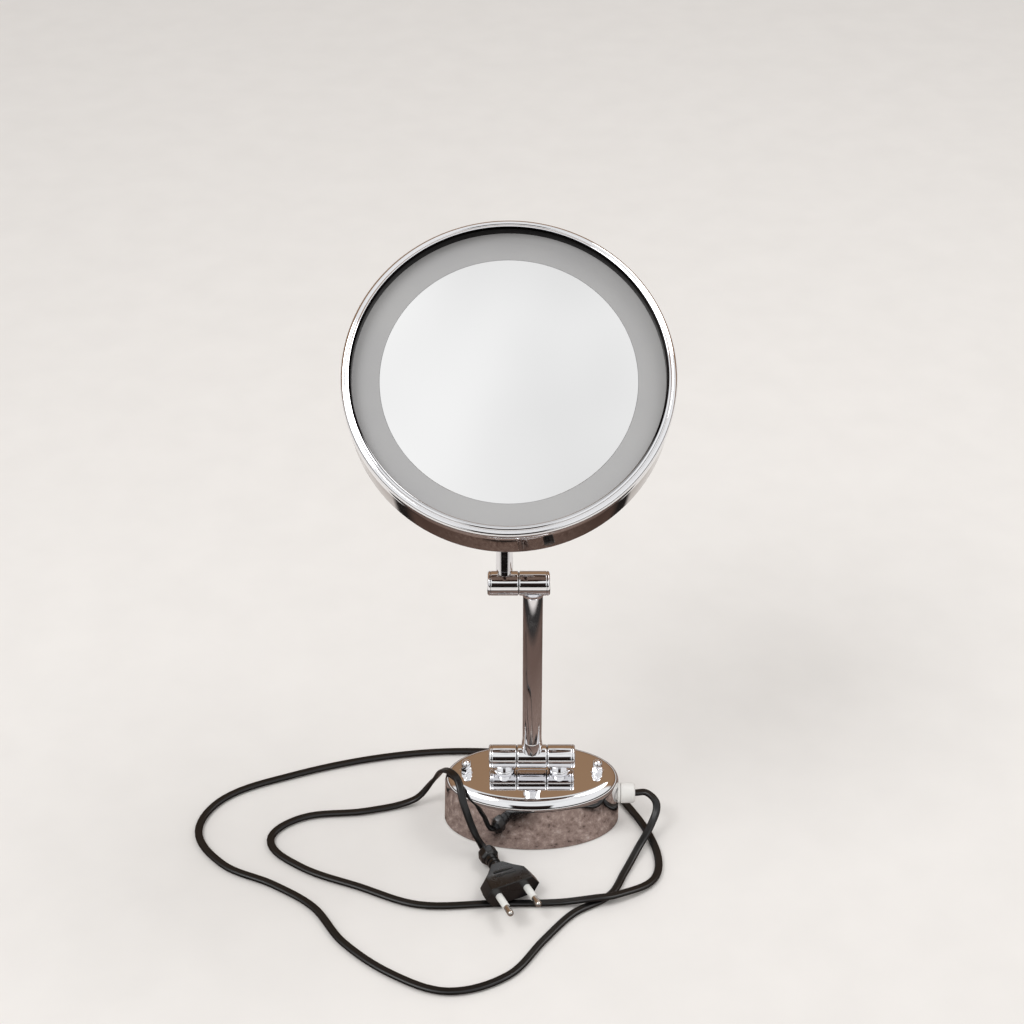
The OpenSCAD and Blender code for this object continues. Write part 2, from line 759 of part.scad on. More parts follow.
module elbow_knuckle_lower() {
  half = elbow_knuckle / 2;
  color("silver") difference() {
    union() {
      at_elbow() barrel(barrel_d, -half, half);
      at_lower() translate([0, 0, lower_len - socket_out]) cylinder(d = lower_d, h = socket_out);
      at_lower() translate([0, 0, lower_len - socket_out - spigot_len])
        cylinder(d = lower_bore - 2 * still_fit, h = socket_out + spigot_len);
    }
    at_elbow() bar_x(pin_d + 2 * still_fit, -half - 1, half + 1);
    at_lower() translate([0, 0, lower_len - socket_out - spigot_len - 1])
      cylinder(d = lead_bore, h = socket_out + spigot_len);
  }
}

module elbow_pin() {
  half = elbow_knuckle / 2;
  color("lightgray") at_elbow() difference() {
    bar_x(pin_d, -arm_gap - half + 0.2, half);
    bar_x(lead_bore - 1, -arm_gap - 1.5, 1.5);
    rotate([180 - lower_lean, 0, 0]) cylinder(d = lead_bore - 1, h = pin_d);
    translate([-arm_gap, 0, 0]) rotate([-upper_lean, 0, 0]) cylinder(d = lead_bore - 1, h = pin_d);
  }
}

module elbow_cap_right() {
  color("silver") at_elbow() translate([elbow_knuckle / 2, 0, 0]) end_cap(barrel_d, cap_t);
}

module lamp_lead_lower() {
  color("whitesmoke") at_lower() translate([0, 0, pin_d / 2 + 0.4])
    cylinder(d = lamp_lead_d, h = lower_len - pin_d - 0.8, $fn = 24);
}

// ---- upper arm ------------------------------------------------------------

module elbow_knuckle_upper() {
  half = elbow_knuckle / 2;
  color("silver") difference() {
    union() {
      translate([-arm_gap, elbow_y, elbow_z]) barrel(barrel_d, -half, half);
      at_upper() cylinder(d = upper_d, h = socket_out);
      at_upper() cylinder(d = upper_bore - 2 * still_fit, h = socket_out + spigot_len);
    }
    at_elbow() bar_x(pin_d + 2 * run_fit, -arm_gap - half - 1, -arm_gap + half + 1);
    at_upper() cylinder(d = lead_bore, h = socket_out + spigot_len + 1);
  }
}

module elbow_cap_left() {
  color("silver") at_elbow() translate([-arm_gap - elbow_knuckle / 2, 0, 0])
    mirror([1, 0, 0]) end_cap(barrel_d, cap_t);
}

module elbow_washer() {
  x1 = -elbow_knuckle / 2;
  color("dimgray") at_elbow() ring_x(barrel_d - 1.6, pin_d + 2 * run_fit, x1 - washer_t, x1 - mid_play);
}

module upper_arm_tube() {
  color("silver") at_upper() translate([0, 0, socket_out]) difference() {
    cylinder(d = upper_d, h = upper_len - socket_out - head_r - 0.6);
    translate([0, 0, -1]) cylinder(d = upper_bore, h = upper_len);
  }
}

module head_centre_knuckle() {
  half = head_knuckle / 2;
  stop = upper_len - head_r - 0.6;
  color("silver") difference() {
    union() {
      translate([head_x, head_y, head_z]) barrel(head_barrel_d, -half, half);
      at_upper() translate([0, 0, stop]) cylinder(d = upper_d, h = head_r);
      at_upper() translate([0, 0, stop - spigot_len])
        cylinder(d = upper_bore - 2 * still_fit, h = spigot_len + 2);
    }
    translate([head_x, head_y, head_z]) bar_x(head_pin_d + 2 * run_fit, -half - 1, half + 1);
    at_upper() translate([0, 0, stop - spigot_len - 1]) cylinder(d = lead_bore, h = spigot_len + 4);
  }
}

module lamp_lead_upper() {
  color("whitesmoke") at_upper() translate([0, 0, pin_d / 2 + 0.4])
    cylinder(d = lamp_lead_d, h = upper_len - head_r - pin_d / 2 + 1, $fn = 24);
}

// ---- head joint -----------------------------------------------------------

module head_yoke() {
  bridge_in = head_r + 0.5;
  color("silver") at_head() difference() {
    union() {
      for (side = [0, 1]) mirror([side, 0, 0]) {
        barrel(head_barrel_d, ear_x, ear_x + yoke_ear);
        translate([ear_x, -tongue_half, 0]) cube([yoke_ear, 2 * tongue_half, bridge_in + 2.5]);
      }
      translate([-ear_x - yoke_ear, -tongue_half, bridge_in])
        cube([2 * (ear_x + yoke_ear), 2 * tongue_half, 2.5]);
      translate([-tongue_half, -tongue_half, bridge_in])
        cube([2 * tongue_half, 2 * tongue_half, tilt_pin_out - bridge_in]);
      translate([0, tongue_half, tilt_pin_out]) rotate([90, 0, 0])
        cylinder(r = tongue_half, h = 2 * tongue_half);
    }
    bar_x(head_pin_d + 2 * still_fit, -ear_x - yoke_ear - 1, ear_x + yoke_ear + 1);
    translate([0, 10, tilt_pin_out]) rotate([90, 0, 0]) cylinder(d = tilt_pin_d + 2 * run_fit, h = 20);
  }
}

module head_hinge_pin() {
  half = ear_x + yoke_ear;
  color("lightgray") at_head() bar_x(head_pin_d, -half, half);
}

module head_hinge_caps() {
  half = ear_x + yoke_ear;
  color("silver") at_head() for (side = [0, 1]) mirror([side, 0, 0])
    translate([half, 0, 0]) end_cap(head_barrel_d, head_cap_t);
}

module head_hinge_washers() {
  inner = head_knuckle / 2;
  color("dimgray") at_head() for (side = [0, 1]) mirror([side, 0, 0])
    ring_x(head_barrel_d - 1.6, head_pin_d + 2 * still_fit, inner + mid_play, inner + washer_t);
}

// ---- head -----------------------------------------------------------------

module at_bracket_screws() {
  for (q = [45 : 90 : 315]) rotate([0, 0, q]) translate([bracket_screw_pcd / 2, 0, 0]) children();
}

module casing_bracket() {
  lug_r = tongue_half;
  color("silver") at_head() difference() {
    union() {
      translate([0, 0, standoff - bracket_t]) cylinder(d = bracket_d, h = bracket_t);
      for (side = [0, 1]) mirror([0, side, 0]) {
        translate([-lug_r, lug_y, tilt_pin_out]) cube([2 * lug_r, lug_t, standoff - tilt_pin_out]);
        translate([0, lug_y + lug_t, tilt_pin_out]) rotate([90, 0, 0]) cylinder(r = lug_r, h = lug_t);
      }
    }
    translate([0, 20, tilt_pin_out]) rotate([90, 0, 0]) cylinder(d = tilt_pin_d + 2 * still_fit, h = 40);
    translate([0, 0, standoff - bracket_t - 1]) at_bracket_screws()
      cylinder(d = m3 + 2 * still_fit, h = bracket_t + 2);
  }
}

module tilt_pin() {
  half = lug_y + lug_t;
  color("lightgray") at_head() translate([0, 0, tilt_pin_out]) rotate([90, 0, 0]) {
    translate([0, 0, -half - 0.2]) cylinder(d = tilt_pin_d, h = 2 * half + 0.4);
    translate([0, 0, half]) cylinder(d = tilt_pin_d + 2, h = 1.2);
    translate([0, 0, -half - 1.2]) cylinder(d = tilt_pin_d + 2, h = 1.2);
  }
}

module bracket_screws() {
  color("lightgray") at_head() at_bracket_screws() {
    translate([0, 0, standoff - bracket_t]) cylinder(d = m3, h = bracket_t + casing_wall + 1.6);
    translate([0, 0, standoff - bracket_t - 1.8]) difference() {
      cylinder(d = 5.6, h = 1.8);
      translate([-0.4, -4, -1]) cube([0.8, 8, 1.8]);
    }
  }
}

module rear_casing() {
  r = casing_r;
  c = casing_round;
  t = casing_wall;
  z0 = standoff;
  z1 = standoff + casing_depth;
  color("silver") difference() {
    at_head() rotate_extrude($fn = 180)
      polygon(concat([[0, z0]],
        [for (q = [-90 : 15 : 0]) [r - c + c * cos(q), z0 + c + c * sin(q)]],
        [[r, z1], [r - t, z1]],
        [for (q = [0 : -15 : -90]) [r - c + (c - t) * cos(q), z0 + c + (c - t) * sin(q)]],
        [[0, z0 + t]]));
    at_head() translate([0, 0, standoff - 1]) at_bracket_screws()
      cylinder(d = m3 + 2 * still_fit, h = 4);
    at_button() translate([0, 0, -3]) cylinder(d = button_d + 2 * clear, h = 6);
  }
}

module front_bezel() {
  r = bezel_r;
  i = diffuser_r;
  color("silver") at_head() translate([0, 0, rim_z]) rotate_extrude($fn = 180)
    polygon([[i, -diffuser_drop], [i, -0.8], [i + 0.7, 0], [i + 2, 0], [i + 2.6, -0.5], [i + 3, -1],
      [i + 3.5, -0.7], [i + 4.2, -0.6], [r - 0.9, -1.3], [r, -2.6], [r, -bezel_depth],
      [casing_r + still_fit, -bezel_depth], [casing_r + still_fit, -casing_front + still_fit],
      [lip_r - clear, -casing_front + still_fit], [lip_r - clear, -bezel_depth],
      [i + 1, -bezel_depth], [i + 1, -diffuser_drop]]);
}

module diffuser_ring() {
  o = diffuser_r + 0.8;
  a = rim_z - diffuser_drop;
  b = rim_z - mirror_drop;
  color("whitesmoke") at_head() rotate_extrude($fn = 180)
    polygon([[o, a - still_fit], [mirror_r + 0.2, b], [mirror_r + 0.2, b - glass_t],
      [mirror_r - 3, b - glass_t], [mirror_r - 3, b - glass_t - diffuser_t],
      [mirror_r + 2, b - glass_t - diffuser_t], [mirror_r + 2, b - diffuser_t],
      [o, a - diffuser_t]]);
}

module mirror_glass() {
  color("white") at_head() translate([0, 0, rim_z - mirror_drop - glass_t])
    cylinder(r = mirror_r, h = glass_t, $fn = 180);
}

module led_tray() {
  color("gainsboro") at_head() rotate_extrude($fn = 180)
    polygon([[board_out_r, tray_floor], [board_out_r, tray_floor - tray_t], [25, tray_floor - tray_t],
      [25, standoff + casing_wall], [25 - tray_t, standoff + casing_wall],
      [25 - tray_t, tray_floor]]);
}

module led_board() {
  color("white") at_head() translate([0, 0, tray_floor]) difference() {
    cylinder(r = board_out_r, h = board_t, $fn = 180);
    translate([0, 0, -1]) cylinder(r = board_in_r, h = board_t + 2, $fn = 180);
  }
}

module led_chips() {
  color("khaki") at_head() for (k = [0 : chip_count - 1])
    rotate([0, 0, 360 * k / chip_count])
      translate([chip_ring_r - chip_w / 2, -chip_w / 2, tray_floor + board_t])
        cube([chip_w, chip_w, chip_t]);
}

module switch_body() {
  depth = switch_gap + casing_wall;
  color("dimgray") at_button() difference() {
    translate([-switch_h / 2, -switch_w / 2, -depth - switch_t]) cube([switch_h, switch_w, switch_t]);
    translate([0, 0, -depth - switch_t + 2]) cylinder(d = button_d + 2 * clear, h = switch_t);
  }
}

module switch_button() {
  color([0.08, 0.08, 0.08]) at_button() {
    translate([0, 0, -switch_gap - 2.5]) cylinder(d = button_d, h = switch_gap + 2.5 + button_out - 0.5);
    translate([0, 0, button_out - 0.5]) cylinder(d = button_d - 0.8, h = 0.5);
  }
}

module switch_spring() {
  wire_d = 0.5;
  low = -switch_gap - casing_wall - switch_t + 2 + wire_d / 2;
  high = -switch_gap - 2.5 - wire_d / 2;
  turns = 4.5;
  steps = turns * 12;
  rings = [for (i = [0 : steps])
    let (a = 30 * i, out = [cos(a), sin(a), 0], z = low + (high - low) * i / steps)
    [for (k = [0 : 5])
      out * (1.9 + wire_d / 2 * cos(60 * k)) + [0, 0, z - wire_d / 2 * sin(60 * k)]]];
  color("lightgray") at_button() skin(rings, 6);
}

wall_cover();
mounting_plate();
mounting_studs();
acorn_nuts();
nut_washers();
hinge_foot_left();
hinge_foot_right();
hinge_foot_washers();
hinge_foot_nuts();
base_hinge_pin();
base_hinge_caps();
base_hinge_washers();
gland_body();
gland_cap();
gland_locknut();
gland_seal();
lead_tail();
lead_cores();
power_cord();
plug_body();
plug_strain_relief();
plug_pins();
plug_pin_sleeves();
transformer_core();
transformer_coil();
transformer_strap();
strap_screws();
terminal_block();
terminal_screws();
lamp_lead_base();
base_centre_knuckle();
lower_arm_ferrule();
lower_arm_tube();
elbow_knuckle_lower();
elbow_pin();
elbow_cap_right();
lamp_lead_lower();
elbow_knuckle_upper();
elbow_cap_left();
elbow_washer();
upper_arm_tube();
head_centre_knuckle();
lamp_lead_upper();
head_yoke();
head_hinge_pin();
head_hinge_caps();
head_hinge_washers();
casing_bracket();
tilt_pin();
bracket_screws();
rear_casing();
front_bezel();
diffuser_ring();
mirror_glass();
led_tray();
led_board();
led_chips();
switch_body();
switch_button();
switch_spring();
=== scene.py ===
# %% [markdown]
# # A lit shaving mirror on a folding arm
# The CAD model comes in first, as a fixed frame. Its bodies carry every piece that is made here,
# so the arms, the head and the button still move. All sizes are in metres, in the CAD's own place.

# %% Load the frame
import json
import math

import bpy
from mathutils import Matrix, Vector


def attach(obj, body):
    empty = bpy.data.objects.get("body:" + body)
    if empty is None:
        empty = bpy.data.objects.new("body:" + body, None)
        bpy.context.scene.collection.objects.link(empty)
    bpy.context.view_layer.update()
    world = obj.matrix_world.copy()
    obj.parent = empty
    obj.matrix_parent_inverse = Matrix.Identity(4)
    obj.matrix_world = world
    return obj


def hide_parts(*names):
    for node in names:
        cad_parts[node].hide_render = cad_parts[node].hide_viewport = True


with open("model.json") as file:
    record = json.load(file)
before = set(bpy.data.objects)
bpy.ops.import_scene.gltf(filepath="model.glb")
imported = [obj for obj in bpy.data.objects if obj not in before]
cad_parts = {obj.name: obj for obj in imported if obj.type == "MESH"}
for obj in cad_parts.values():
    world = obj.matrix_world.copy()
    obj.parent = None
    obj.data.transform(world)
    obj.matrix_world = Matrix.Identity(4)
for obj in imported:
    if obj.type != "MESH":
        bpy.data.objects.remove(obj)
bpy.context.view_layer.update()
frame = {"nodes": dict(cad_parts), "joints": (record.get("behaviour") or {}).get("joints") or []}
MM = 0.001

# %% [markdown]
# ## The camera
# The object stands on a table and is seen from the front and above, from about 1.3 m away.
# A long lens keeps the round head nearly free of perspective.

# %% Camera
LOOK_DOWN = 35.89                        # degrees below level
lens = bpy.data.cameras.new("camera")
lens.lens, lens.sensor_width = 68.55, 36
camera = bpy.data.objects.new("camera", lens)
camera.location = (-0.01266, -0.91054, 0.90191)
camera.rotation_euler = (math.radians(90 - LOOK_DOWN), 0, 0)
bpy.context.scene.collection.objects.link(camera)
bpy.context.scene.camera = camera
print("camera at", tuple(camera.location))

# %% Places and turns


def at(x, y, z):
    """A place, in millimetres."""
    return Matrix.Translation((x * MM, y * MM, z * MM))


def about(axis, degrees):
    return Matrix.Rotation(math.radians(degrees), 4, axis)


LIE_X = about("Y", 90)                   # turns a piece made along +Z to lie along +X
LIE_Y = about("X", -90)                  # the same, along +Y

# %% [markdown]
# ## The mains lead
# A flat twin lead is two round cores side by side in one sheath, so its section is a waisted oval.
# A curve with a round bevel can't lie flat, so the section is swept along the route in code: at each
# step it turns with the route but keeps its flat side up, the way a lead lies on a table.
# The route is a short list of points, joined by smooth cubic pieces.

# %% The lead's route
PLUG_YAW, PLUG_TILT = -66, -6.5          # degrees: it lies askew, its pins tipped a little up
BULB_BACK = -44                          # the end of the plug's bulb, behind its face
plug_at = at(-12, -77, 10.9) @ about("Z", PLUG_YAW) @ about("Y", PLUG_TILT)
bulb_end = plug_at @ Vector((BULB_BACK * MM, 0, 0)) / MM
route = [Vector(p) for p in [
    (66, -3, 23), (74, -2.8, 22.6), (80, -8, 17.5), (76.5, -18, 10.5), (67.5, -33, 4.2),
    (58, -52, 1.9), (48, -71, 1.6), (25, -86, 1.6), (7, -107, 1.6), (-15, -135, 1.6),
    (-50, -147, 1.6), (-84, -134, 1.6), (-115, -109, 1.6), (-135, -81, 1.6), (-162, -62, 1.6),
    (-195, -45, 1.6), (-214, -16, 1.6), (-201, 14, 1.6), (-160, 35, 1.6), (-105, 52, 1.6),
    (-50, 59, 1.6), (2, 54, 1.6), (42, 34, 1.6), (65, 3, 1.6), (79, -33, 1.6),
    (76, -58, 2), (53, -73.5, 4.8), (38, -77, 5.3), (15, -77.5, 2), (-24, -78, 1.6),
    (-70, -79, 1.6), (-108, -64, 1.6), (-146, -47, 1.6), (-167, -24, 1.6), (-149, -4, 1.6),
    (-108, 2, 1.8), (-77, 10, 4), (-64, 12, 19), (-56, 2, 38), (-47.5, -10.5, 42.5),
    (-43, -24, 33.5), (-36.5, -32, 17), tuple(bulb_end)]]


def directions(points, first, last):
    """The way the route runs at each point: along the line between the points beside it."""
    inner = [(b - a).normalized() for a, b in zip(points, points[2:])]
    return [first, *inner, last]


def smooth_path(points, ways, steps):
    """Cubic pieces through the points, as places and the ways they run."""
    path, along = [], []
    for a, b, wa, wb in zip(points, points[1:], ways, ways[1:]):
        reach = (b - a).length
        for s in range(steps):
            t = s / steps
            path.append((2 * t**3 - 3 * t**2 + 1) * a + (t**3 - 2 * t**2 + t) * reach * wa
                        + (3 * t**2 - 2 * t**3) * b + (t**3 - t**2) * reach * wb)
            slope = ((6 * t**2 - 6 * t) * (a - b) + (3 * t**2 - 4 * t + 1) * reach * wa
                     + (3 * t**2 - 2 * t) * reach * wb)
            along.append(slope.normalized())
    return [*path, points[-1]], [*along, ways[-1]]


plug_way = (plug_at.to_3x3() @ Vector((1, 0, 0))).normalized()
gland_way = Vector((1, 0, 0))
path, along = smooth_path(route, directions(route, gland_way, plug_way), steps=8)
path = [p * MM for p in path]

# %% Sweep the lead's section
CORD_W, CORD_T = 4.9 * MM, 2.8 * MM
GROOVE_DEEP, GROOVE_WIDE = 0.16, 0.7 * MM   # as a share of the height, and half its width


def twin_section(count=24):
    """A flat oval with a shallow groove down the middle of each face."""
    ring = []
    for k in range(count):
        a = 2 * math.pi * (k + 0.5) / count
        x = math.copysign(abs(math.cos(a)) ** 0.8, math.cos(a)) * CORD_W / 2
        y = math.copysign(abs(math.sin(a)) ** 0.75, math.sin(a)) * CORD_T / 2
        y *= 1 - GROOVE_DEEP * math.exp(-((x / GROOVE_WIDE) ** 2))
        ring.append((x, y))
    return ring


def sweep(name, path, along, ring):
    """Carries a ring along a path with its flat side kept level, and closes both ends."""
    verts, faces, n = [], [], len(ring)
    for p, d in zip(path, along):
        side = Vector((0, 0, 1)).cross(d).normalized()
        up = d.cross(side)
        verts += [p + side * x + up * y for x, y in ring]
    for i in range(len(path) - 1):
        for k in range(n):
            m = (k + 1) % n
            faces.append((i * n + k, i * n + m, (i + 1) * n + m, (i + 1) * n + k))
    faces += [tuple(reversed(range(n))), tuple(range(len(verts) - n, len(verts)))]
    mesh = bpy.data.meshes.new(name)
    mesh.from_pydata(verts, [], faces)
    mesh.validate()
    piece = bpy.data.objects.new(name, mesh)
    bpy.context.scene.collection.objects.link(piece)
    return piece


cord = sweep("mains_lead", path, along, twin_section())
print("the lead's mesh has", len(cord.data.polygons), "faces")

# %% [markdown]
# ## Colours and a node helper
# Colours are written the way a paint chart gives them, as sRGB hex, and one function makes them
# linear. One helper adds a node, sets it up and links what feeds it, so a finish reads as a list.

# %% Helpers for materials


def colour(code):
    parts = [int(code[i:i + 2], 16) / 255 for i in (1, 3, 5)]
    return tuple(c / 12.92 if c <= 0.04045 else ((c + 0.055) / 1.055) ** 2.4 for c in parts) + (1,)


def add(tree, kind, inputs=None, **settings):
    """Adds a node. An input that is another node's socket is linked, and any other is a value."""
    node = tree.nodes.new(kind)
    for key, value in settings.items():
        setattr(node, key, value)
    for key, value in (inputs or {}).items():
        if isinstance(value, bpy.types.NodeSocket):
            tree.links.new(value, node.inputs[key])
        else:
            node.inputs[key].default_value = value
    return node


def ramp(tree, value, stops):
    node = add(tree, "ShaderNodeValToRGB", {"Fac": value})
    bar = node.color_ramp.elements
    while len(bar) < len(stops):
        bar.new(0.5)
    for element, (where, code) in zip(bar, stops):
        element.position, element.color = where, colour(code)
    return node.outputs[0]


def spread(tree, value, low, high):
    """Turns a 0 to 1 pattern into a value from low to high."""
    return add(tree, "ShaderNodeMapRange", {"Value": value, "To Min": low, "To Max": high}).outputs[0]


def within(tree, value, low, high):
    """Turns a value from low to high into 0 to 1."""
    return add(tree, "ShaderNodeMapRange", {"Value": value, "From Min": low, "From Max": high}).outputs[0]


def blend(tree, share, first, second):
    """Mixes two colours, all first at 0 and all second at 1."""
    return add(tree, "ShaderNodeMixRGB", {"Fac": share, "Color1": first, "Color2": second}).outputs[0]


def finish(name, **sockets):
    made = bpy.data.materials.new(name)
    made.use_nodes = True
    shader = made.node_tree.nodes["Principled BSDF"]
    for key, value in sockets.items():
        shader.inputs[key.replace("_", " ")].default_value = value
    return made, made.node_tree, shader


def place(tree):
    return add(tree, "ShaderNodeTexCoord").outputs["Object"]


def noise(tree, size_mm, detail=3.0, rough=0.5):
    """Noise whose blotches are about size_mm across."""
    return add(tree, "ShaderNodeTexNoise", {"Vector": place(tree), "Scale": 1 / (size_mm * MM),
                                            "Detail": detail, "Roughness": rough}).outputs[0]


def bump(tree, shader, height, depth_mm):
    relief = add(tree, "ShaderNodeBump", {"Height": height, "Distance": depth_mm * MM})
    tree.links.new(relief.outputs[0], shader.inputs["Normal"])


# %% [markdown]
# ## Chrome plate
# Nickel and chrome over polished steel or brass. It gives the eye its surroundings, very slightly
# blue, with a faint orange-peel wave from the polishing wheel and a breath of handling marks.
# The wave is about 9 mm long and far too shallow to see but for the way it bends reflections.
#
# Two finishes are darker than the plate, and both are painted light. The bezel's inner wall is painted
# shade, near black but paling toward its foot. The casing looks away from the light, and a plain mirror
# there would show only the pale table and lose its outline, so its plate is tinted the brown of a dim room: a
# painted reflection.

# %% Chrome


def chrome(name, tint, low, high, wave_mm=0.004):
    """Plate whose roughness runs from low, where it is clean, to high, where it was handled."""
    made, tree, shader = finish(name, Metallic=1.0, Base_Color=colour(tint))
    marks = noise(tree, 14, 4.0, 0.65)
    smears = ramp(tree, marks, [(0.45, "#000000"), (0.78, "#FFFFFF")])
    tree.links.new(spread(tree, smears, low, high), shader.inputs["Roughness"])
    bump(tree, shader, noise(tree, 9, 1.0), wave_mm)
    return made


chrome_plate = chrome("chrome_plate_polished", "#F0F0F2", 0.03, 0.10)
chrome_tube = chrome("chrome_tube_drawn", "#EBEAEC", 0.035, 0.12)
# The bezel's inner wall is painted shade: near black, with a painted pale foot where light would reach it.
PAINTED_SHADE, PAINTED_PALE_FOOT = "#0D0B0B", "#D6D6D8"
painted_shade_chrome = chrome("chrome_painted_shade", PAINTED_SHADE, 0.06, 0.14)
# The casing's plate is tinted the brown of a dim room: a painted reflection.
casing_painted_reflection = chrome("chrome_casing_painted_reflection", "#7C6A61", 0.05, 0.15)

# %% Silvered glass, zinc plate and nickel
silvered_glass, tree, shader = finish(
    "float_glass_silvered", Metallic=1.0, Base_Color=colour("#F7F7F7"), Roughness=0.012)
wipe = noise(tree, 60, 2.0)
tree.links.new(spread(tree, wipe, 0.008, 0.03), shader.inputs["Roughness"])

zinc_plate, tree, shader = finish("zinc_plate_bright", Metallic=1.0, Roughness=0.38)
spangle = noise(tree, 3, 2.0)
tree.links.new(ramp(tree, spangle, [(0.3, "#A9ABAD"), (0.7, "#C3C5C6")]), shader.inputs["Base Color"])
bump(tree, shader, spangle, 0.02)

nickel, tree, shader = finish("nickel_plate_on_brass", Metallic=1.0, Base_Color=colour("#CFCDC8"))
tree.links.new(spread(tree, noise(tree, 4), 0.12, 0.3), shader.inputs["Roughness"])
print("metals are ready")

# %% [markdown]
# ## Plastics and rubber
# Moulded plastic takes its gloss from the tool: a polished tool for the white nylon gland, a spark
# eroded one for the black plug, whose fine grain spreads the highlight. The lead's sheath is soft
# PVC with a waxy sheen, slightly uneven in tone. The diffuser is acrylic, frosted all over.

# %% Plastics


def moulded(name, dark, light, rough, grain_mm, grain_deep_mm, blotch_mm=12, **sockets):
    """Plastic with a fine grain, clouded between two tones."""
    made, tree, shader = finish(name, **sockets)
    clouds = noise(tree, blotch_mm, 3.0)
    tree.links.new(ramp(tree, clouds, [(0.3, dark), (0.7, light)]), shader.inputs["Base Color"])
    tree.links.new(spread(tree, clouds, rough - 0.06, rough + 0.06), shader.inputs["Roughness"])
    bump(tree, shader, noise(tree, grain_mm, 2.0), grain_deep_mm)
    return made


white_nylon = moulded("nylon_moulded_white", "#E6E5E2", "#F2F1EE", 0.32, 0.6, 0.01)
white_gloss = moulded("polycarbonate_white", "#E4E4E0", "#EEEEEA", 0.28, 0.5, 0.006)
black_plug = moulded("polypropylene_moulded_black", "#050505", "#0E0E0F", 0.28, 0.35, 0.02,
                     Coat_Weight=0.35, Coat_Roughness=0.12)
black_button = moulded("abs_moulded_black", "#120D0C", "#1E1614", 0.3, 0.5, 0.01)
cord_sheath = moulded("pvc_sheath_black", "#060606", "#0F0D0D", 0.3, 1.2, 0.02, 30)
rubber_seal = moulded("rubber_moulded_grey", "#2A2A2A", "#363636", 0.6, 0.8, 0.02)
frosted = moulded("acrylic_frosted", "#A6A6A7", "#ADADAD", 0.62, 0.4, 0.004, 60)
core_varnish = moulded("steel_laminations_varnished", "#30343A", "#454A50", 0.45, 0.5, 0.03)
coil_tape = moulded("copper_coil_taped", "#8A5326", "#A56A35", 0.4, 0.35, 0.08)
lead_white = moulded("pvc_sheath_white", "#DDDCD8", "#E8E7E3", 0.4, 0.8, 0.01)
core_blue = moulded("pvc_core_blue", "#2B4C8C", "#34589C", 0.4, 0.8, 0.01)
phosphor = moulded("phosphor_gel_yellow", "#D8C24A", "#E6D469", 0.3, 0.8, 0.01)
aluminium = moulded("aluminium_sheet_mill", "#B4B6B8", "#C2C4C6", 0.35, 0.8, 0.01, Metallic=1.0)
print(len(bpy.data.materials), "materials")

# %% [markdown]
# ## Shaping tools
# Most of this object came off a lathe or a press, so most pieces are rings that are extruded and
# scaled step by step along a profile. A profile is a list of (radius, height) pairs in millimetres,
# and reads like a turner's drawing.

# %% Selecting and finishing


def select_only(*pieces):
    bpy.ops.object.select_all(action="DESELECT")
    for piece in pieces:
        piece.select_set(True)
    bpy.context.view_layer.objects.active = pieces[0]


def put(piece, matrix):
    """Moves a piece to its place and leaves the move in its mesh."""
    select_only(piece)
    piece.matrix_world = matrix @ piece.matrix_world
    bpy.ops.object.transform_apply(location=True, rotation=True, scale=True)
    return piece


def tidy(piece, angle=32):
    """Joins doubled points, turns the faces outwards, and smooths edges flatter than the angle."""
    select_only(piece)
    bpy.ops.object.mode_set(mode="EDIT")
    bpy.ops.mesh.select_all(action="SELECT")
    bpy.ops.mesh.remove_doubles(threshold=1e-6)
    bpy.ops.mesh.normals_make_consistent(inside=False)
    bpy.ops.object.mode_set(mode="OBJECT")
    bpy.ops.object.shade_smooth_by_angle(angle=math.radians(angle))
    return piece


def modify(piece, kind, **settings):
    select_only(piece)
    modifier = piece.modifiers.new(kind.lower(), kind)
    for key, value in settings.items():
        setattr(modifier, key, value)
    bpy.ops.object.modifier_apply(modifier=modifier.name)
    return piece


def joined(name, *pieces):
    select_only(*pieces)
    bpy.ops.object.join()
    pieces[0].name = pieces[0].data.name = name
    return pieces[0]


def finished(piece, body, material, slot, *nodes):
    piece.data.materials.clear()
    piece.data.materials.append(material)
    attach(piece, body)
    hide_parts(*nodes)
    print(f"{piece.name}: {len(piece.data.polygons)} faces, on {body}")
    return piece


# %% Turning a profile


def pull(move):
    """Extrudes the selected ring by a move."""
    bpy.ops.mesh.extrude_edges_move(TRANSFORM_OT_translate={"value": move})


def turned(name, profile, sides=64, squash=None):
    """Extrudes a ring along a profile. squash gives each ring's second radius, for an oval piece."""
    rings = [p for p in profile if p[0] > 0]
    wide = squash or (lambda r: r)
    bpy.ops.object.select_all(action="DESELECT")
    bpy.ops.mesh.primitive_circle_add(vertices=sides, radius=1, location=(0, 0, 0))
    piece = bpy.context.object
    piece.name = piece.data.name = name
    bpy.ops.object.mode_set(mode="EDIT")
    bpy.ops.mesh.select_all(action="SELECT")
    r, z = rings[0]
    bpy.ops.transform.resize(value=(r * MM, wide(r) * MM, 1), center_override=(0, 0, 0))
    bpy.ops.transform.translate(value=(0, 0, z * MM))
    if profile[0][0] == 0:
        bpy.ops.mesh.edge_face_add()
    for r2, z2 in rings[1:]:
        pull((0, 0, (z2 - z) * MM))
        bpy.ops.transform.resize(value=(r2 / r, wide(r2) / wide(r), 1), center_override=(0, 0, z2 * MM))
        r, z = r2, z2
    if profile[-1][0] == 0:
        if profile[-1][1] == z:
            bpy.ops.mesh.edge_face_add()
        else:
            pull((0, 0, (profile[-1][1] - z) * MM))
            bpy.ops.mesh.merge(type="CENTER")
    bpy.ops.object.mode_set(mode="OBJECT")
    return tidy(piece)


def arc(cx, cz, r, start, end, steps=6):
    """Points on a rounded corner, from angle start to angle end in degrees."""
    turns = [math.radians(start + (end - start) * k / steps) for k in range(steps + 1)]
    return [(cx + r * math.cos(a), cz + r * math.sin(a)) for a in turns]


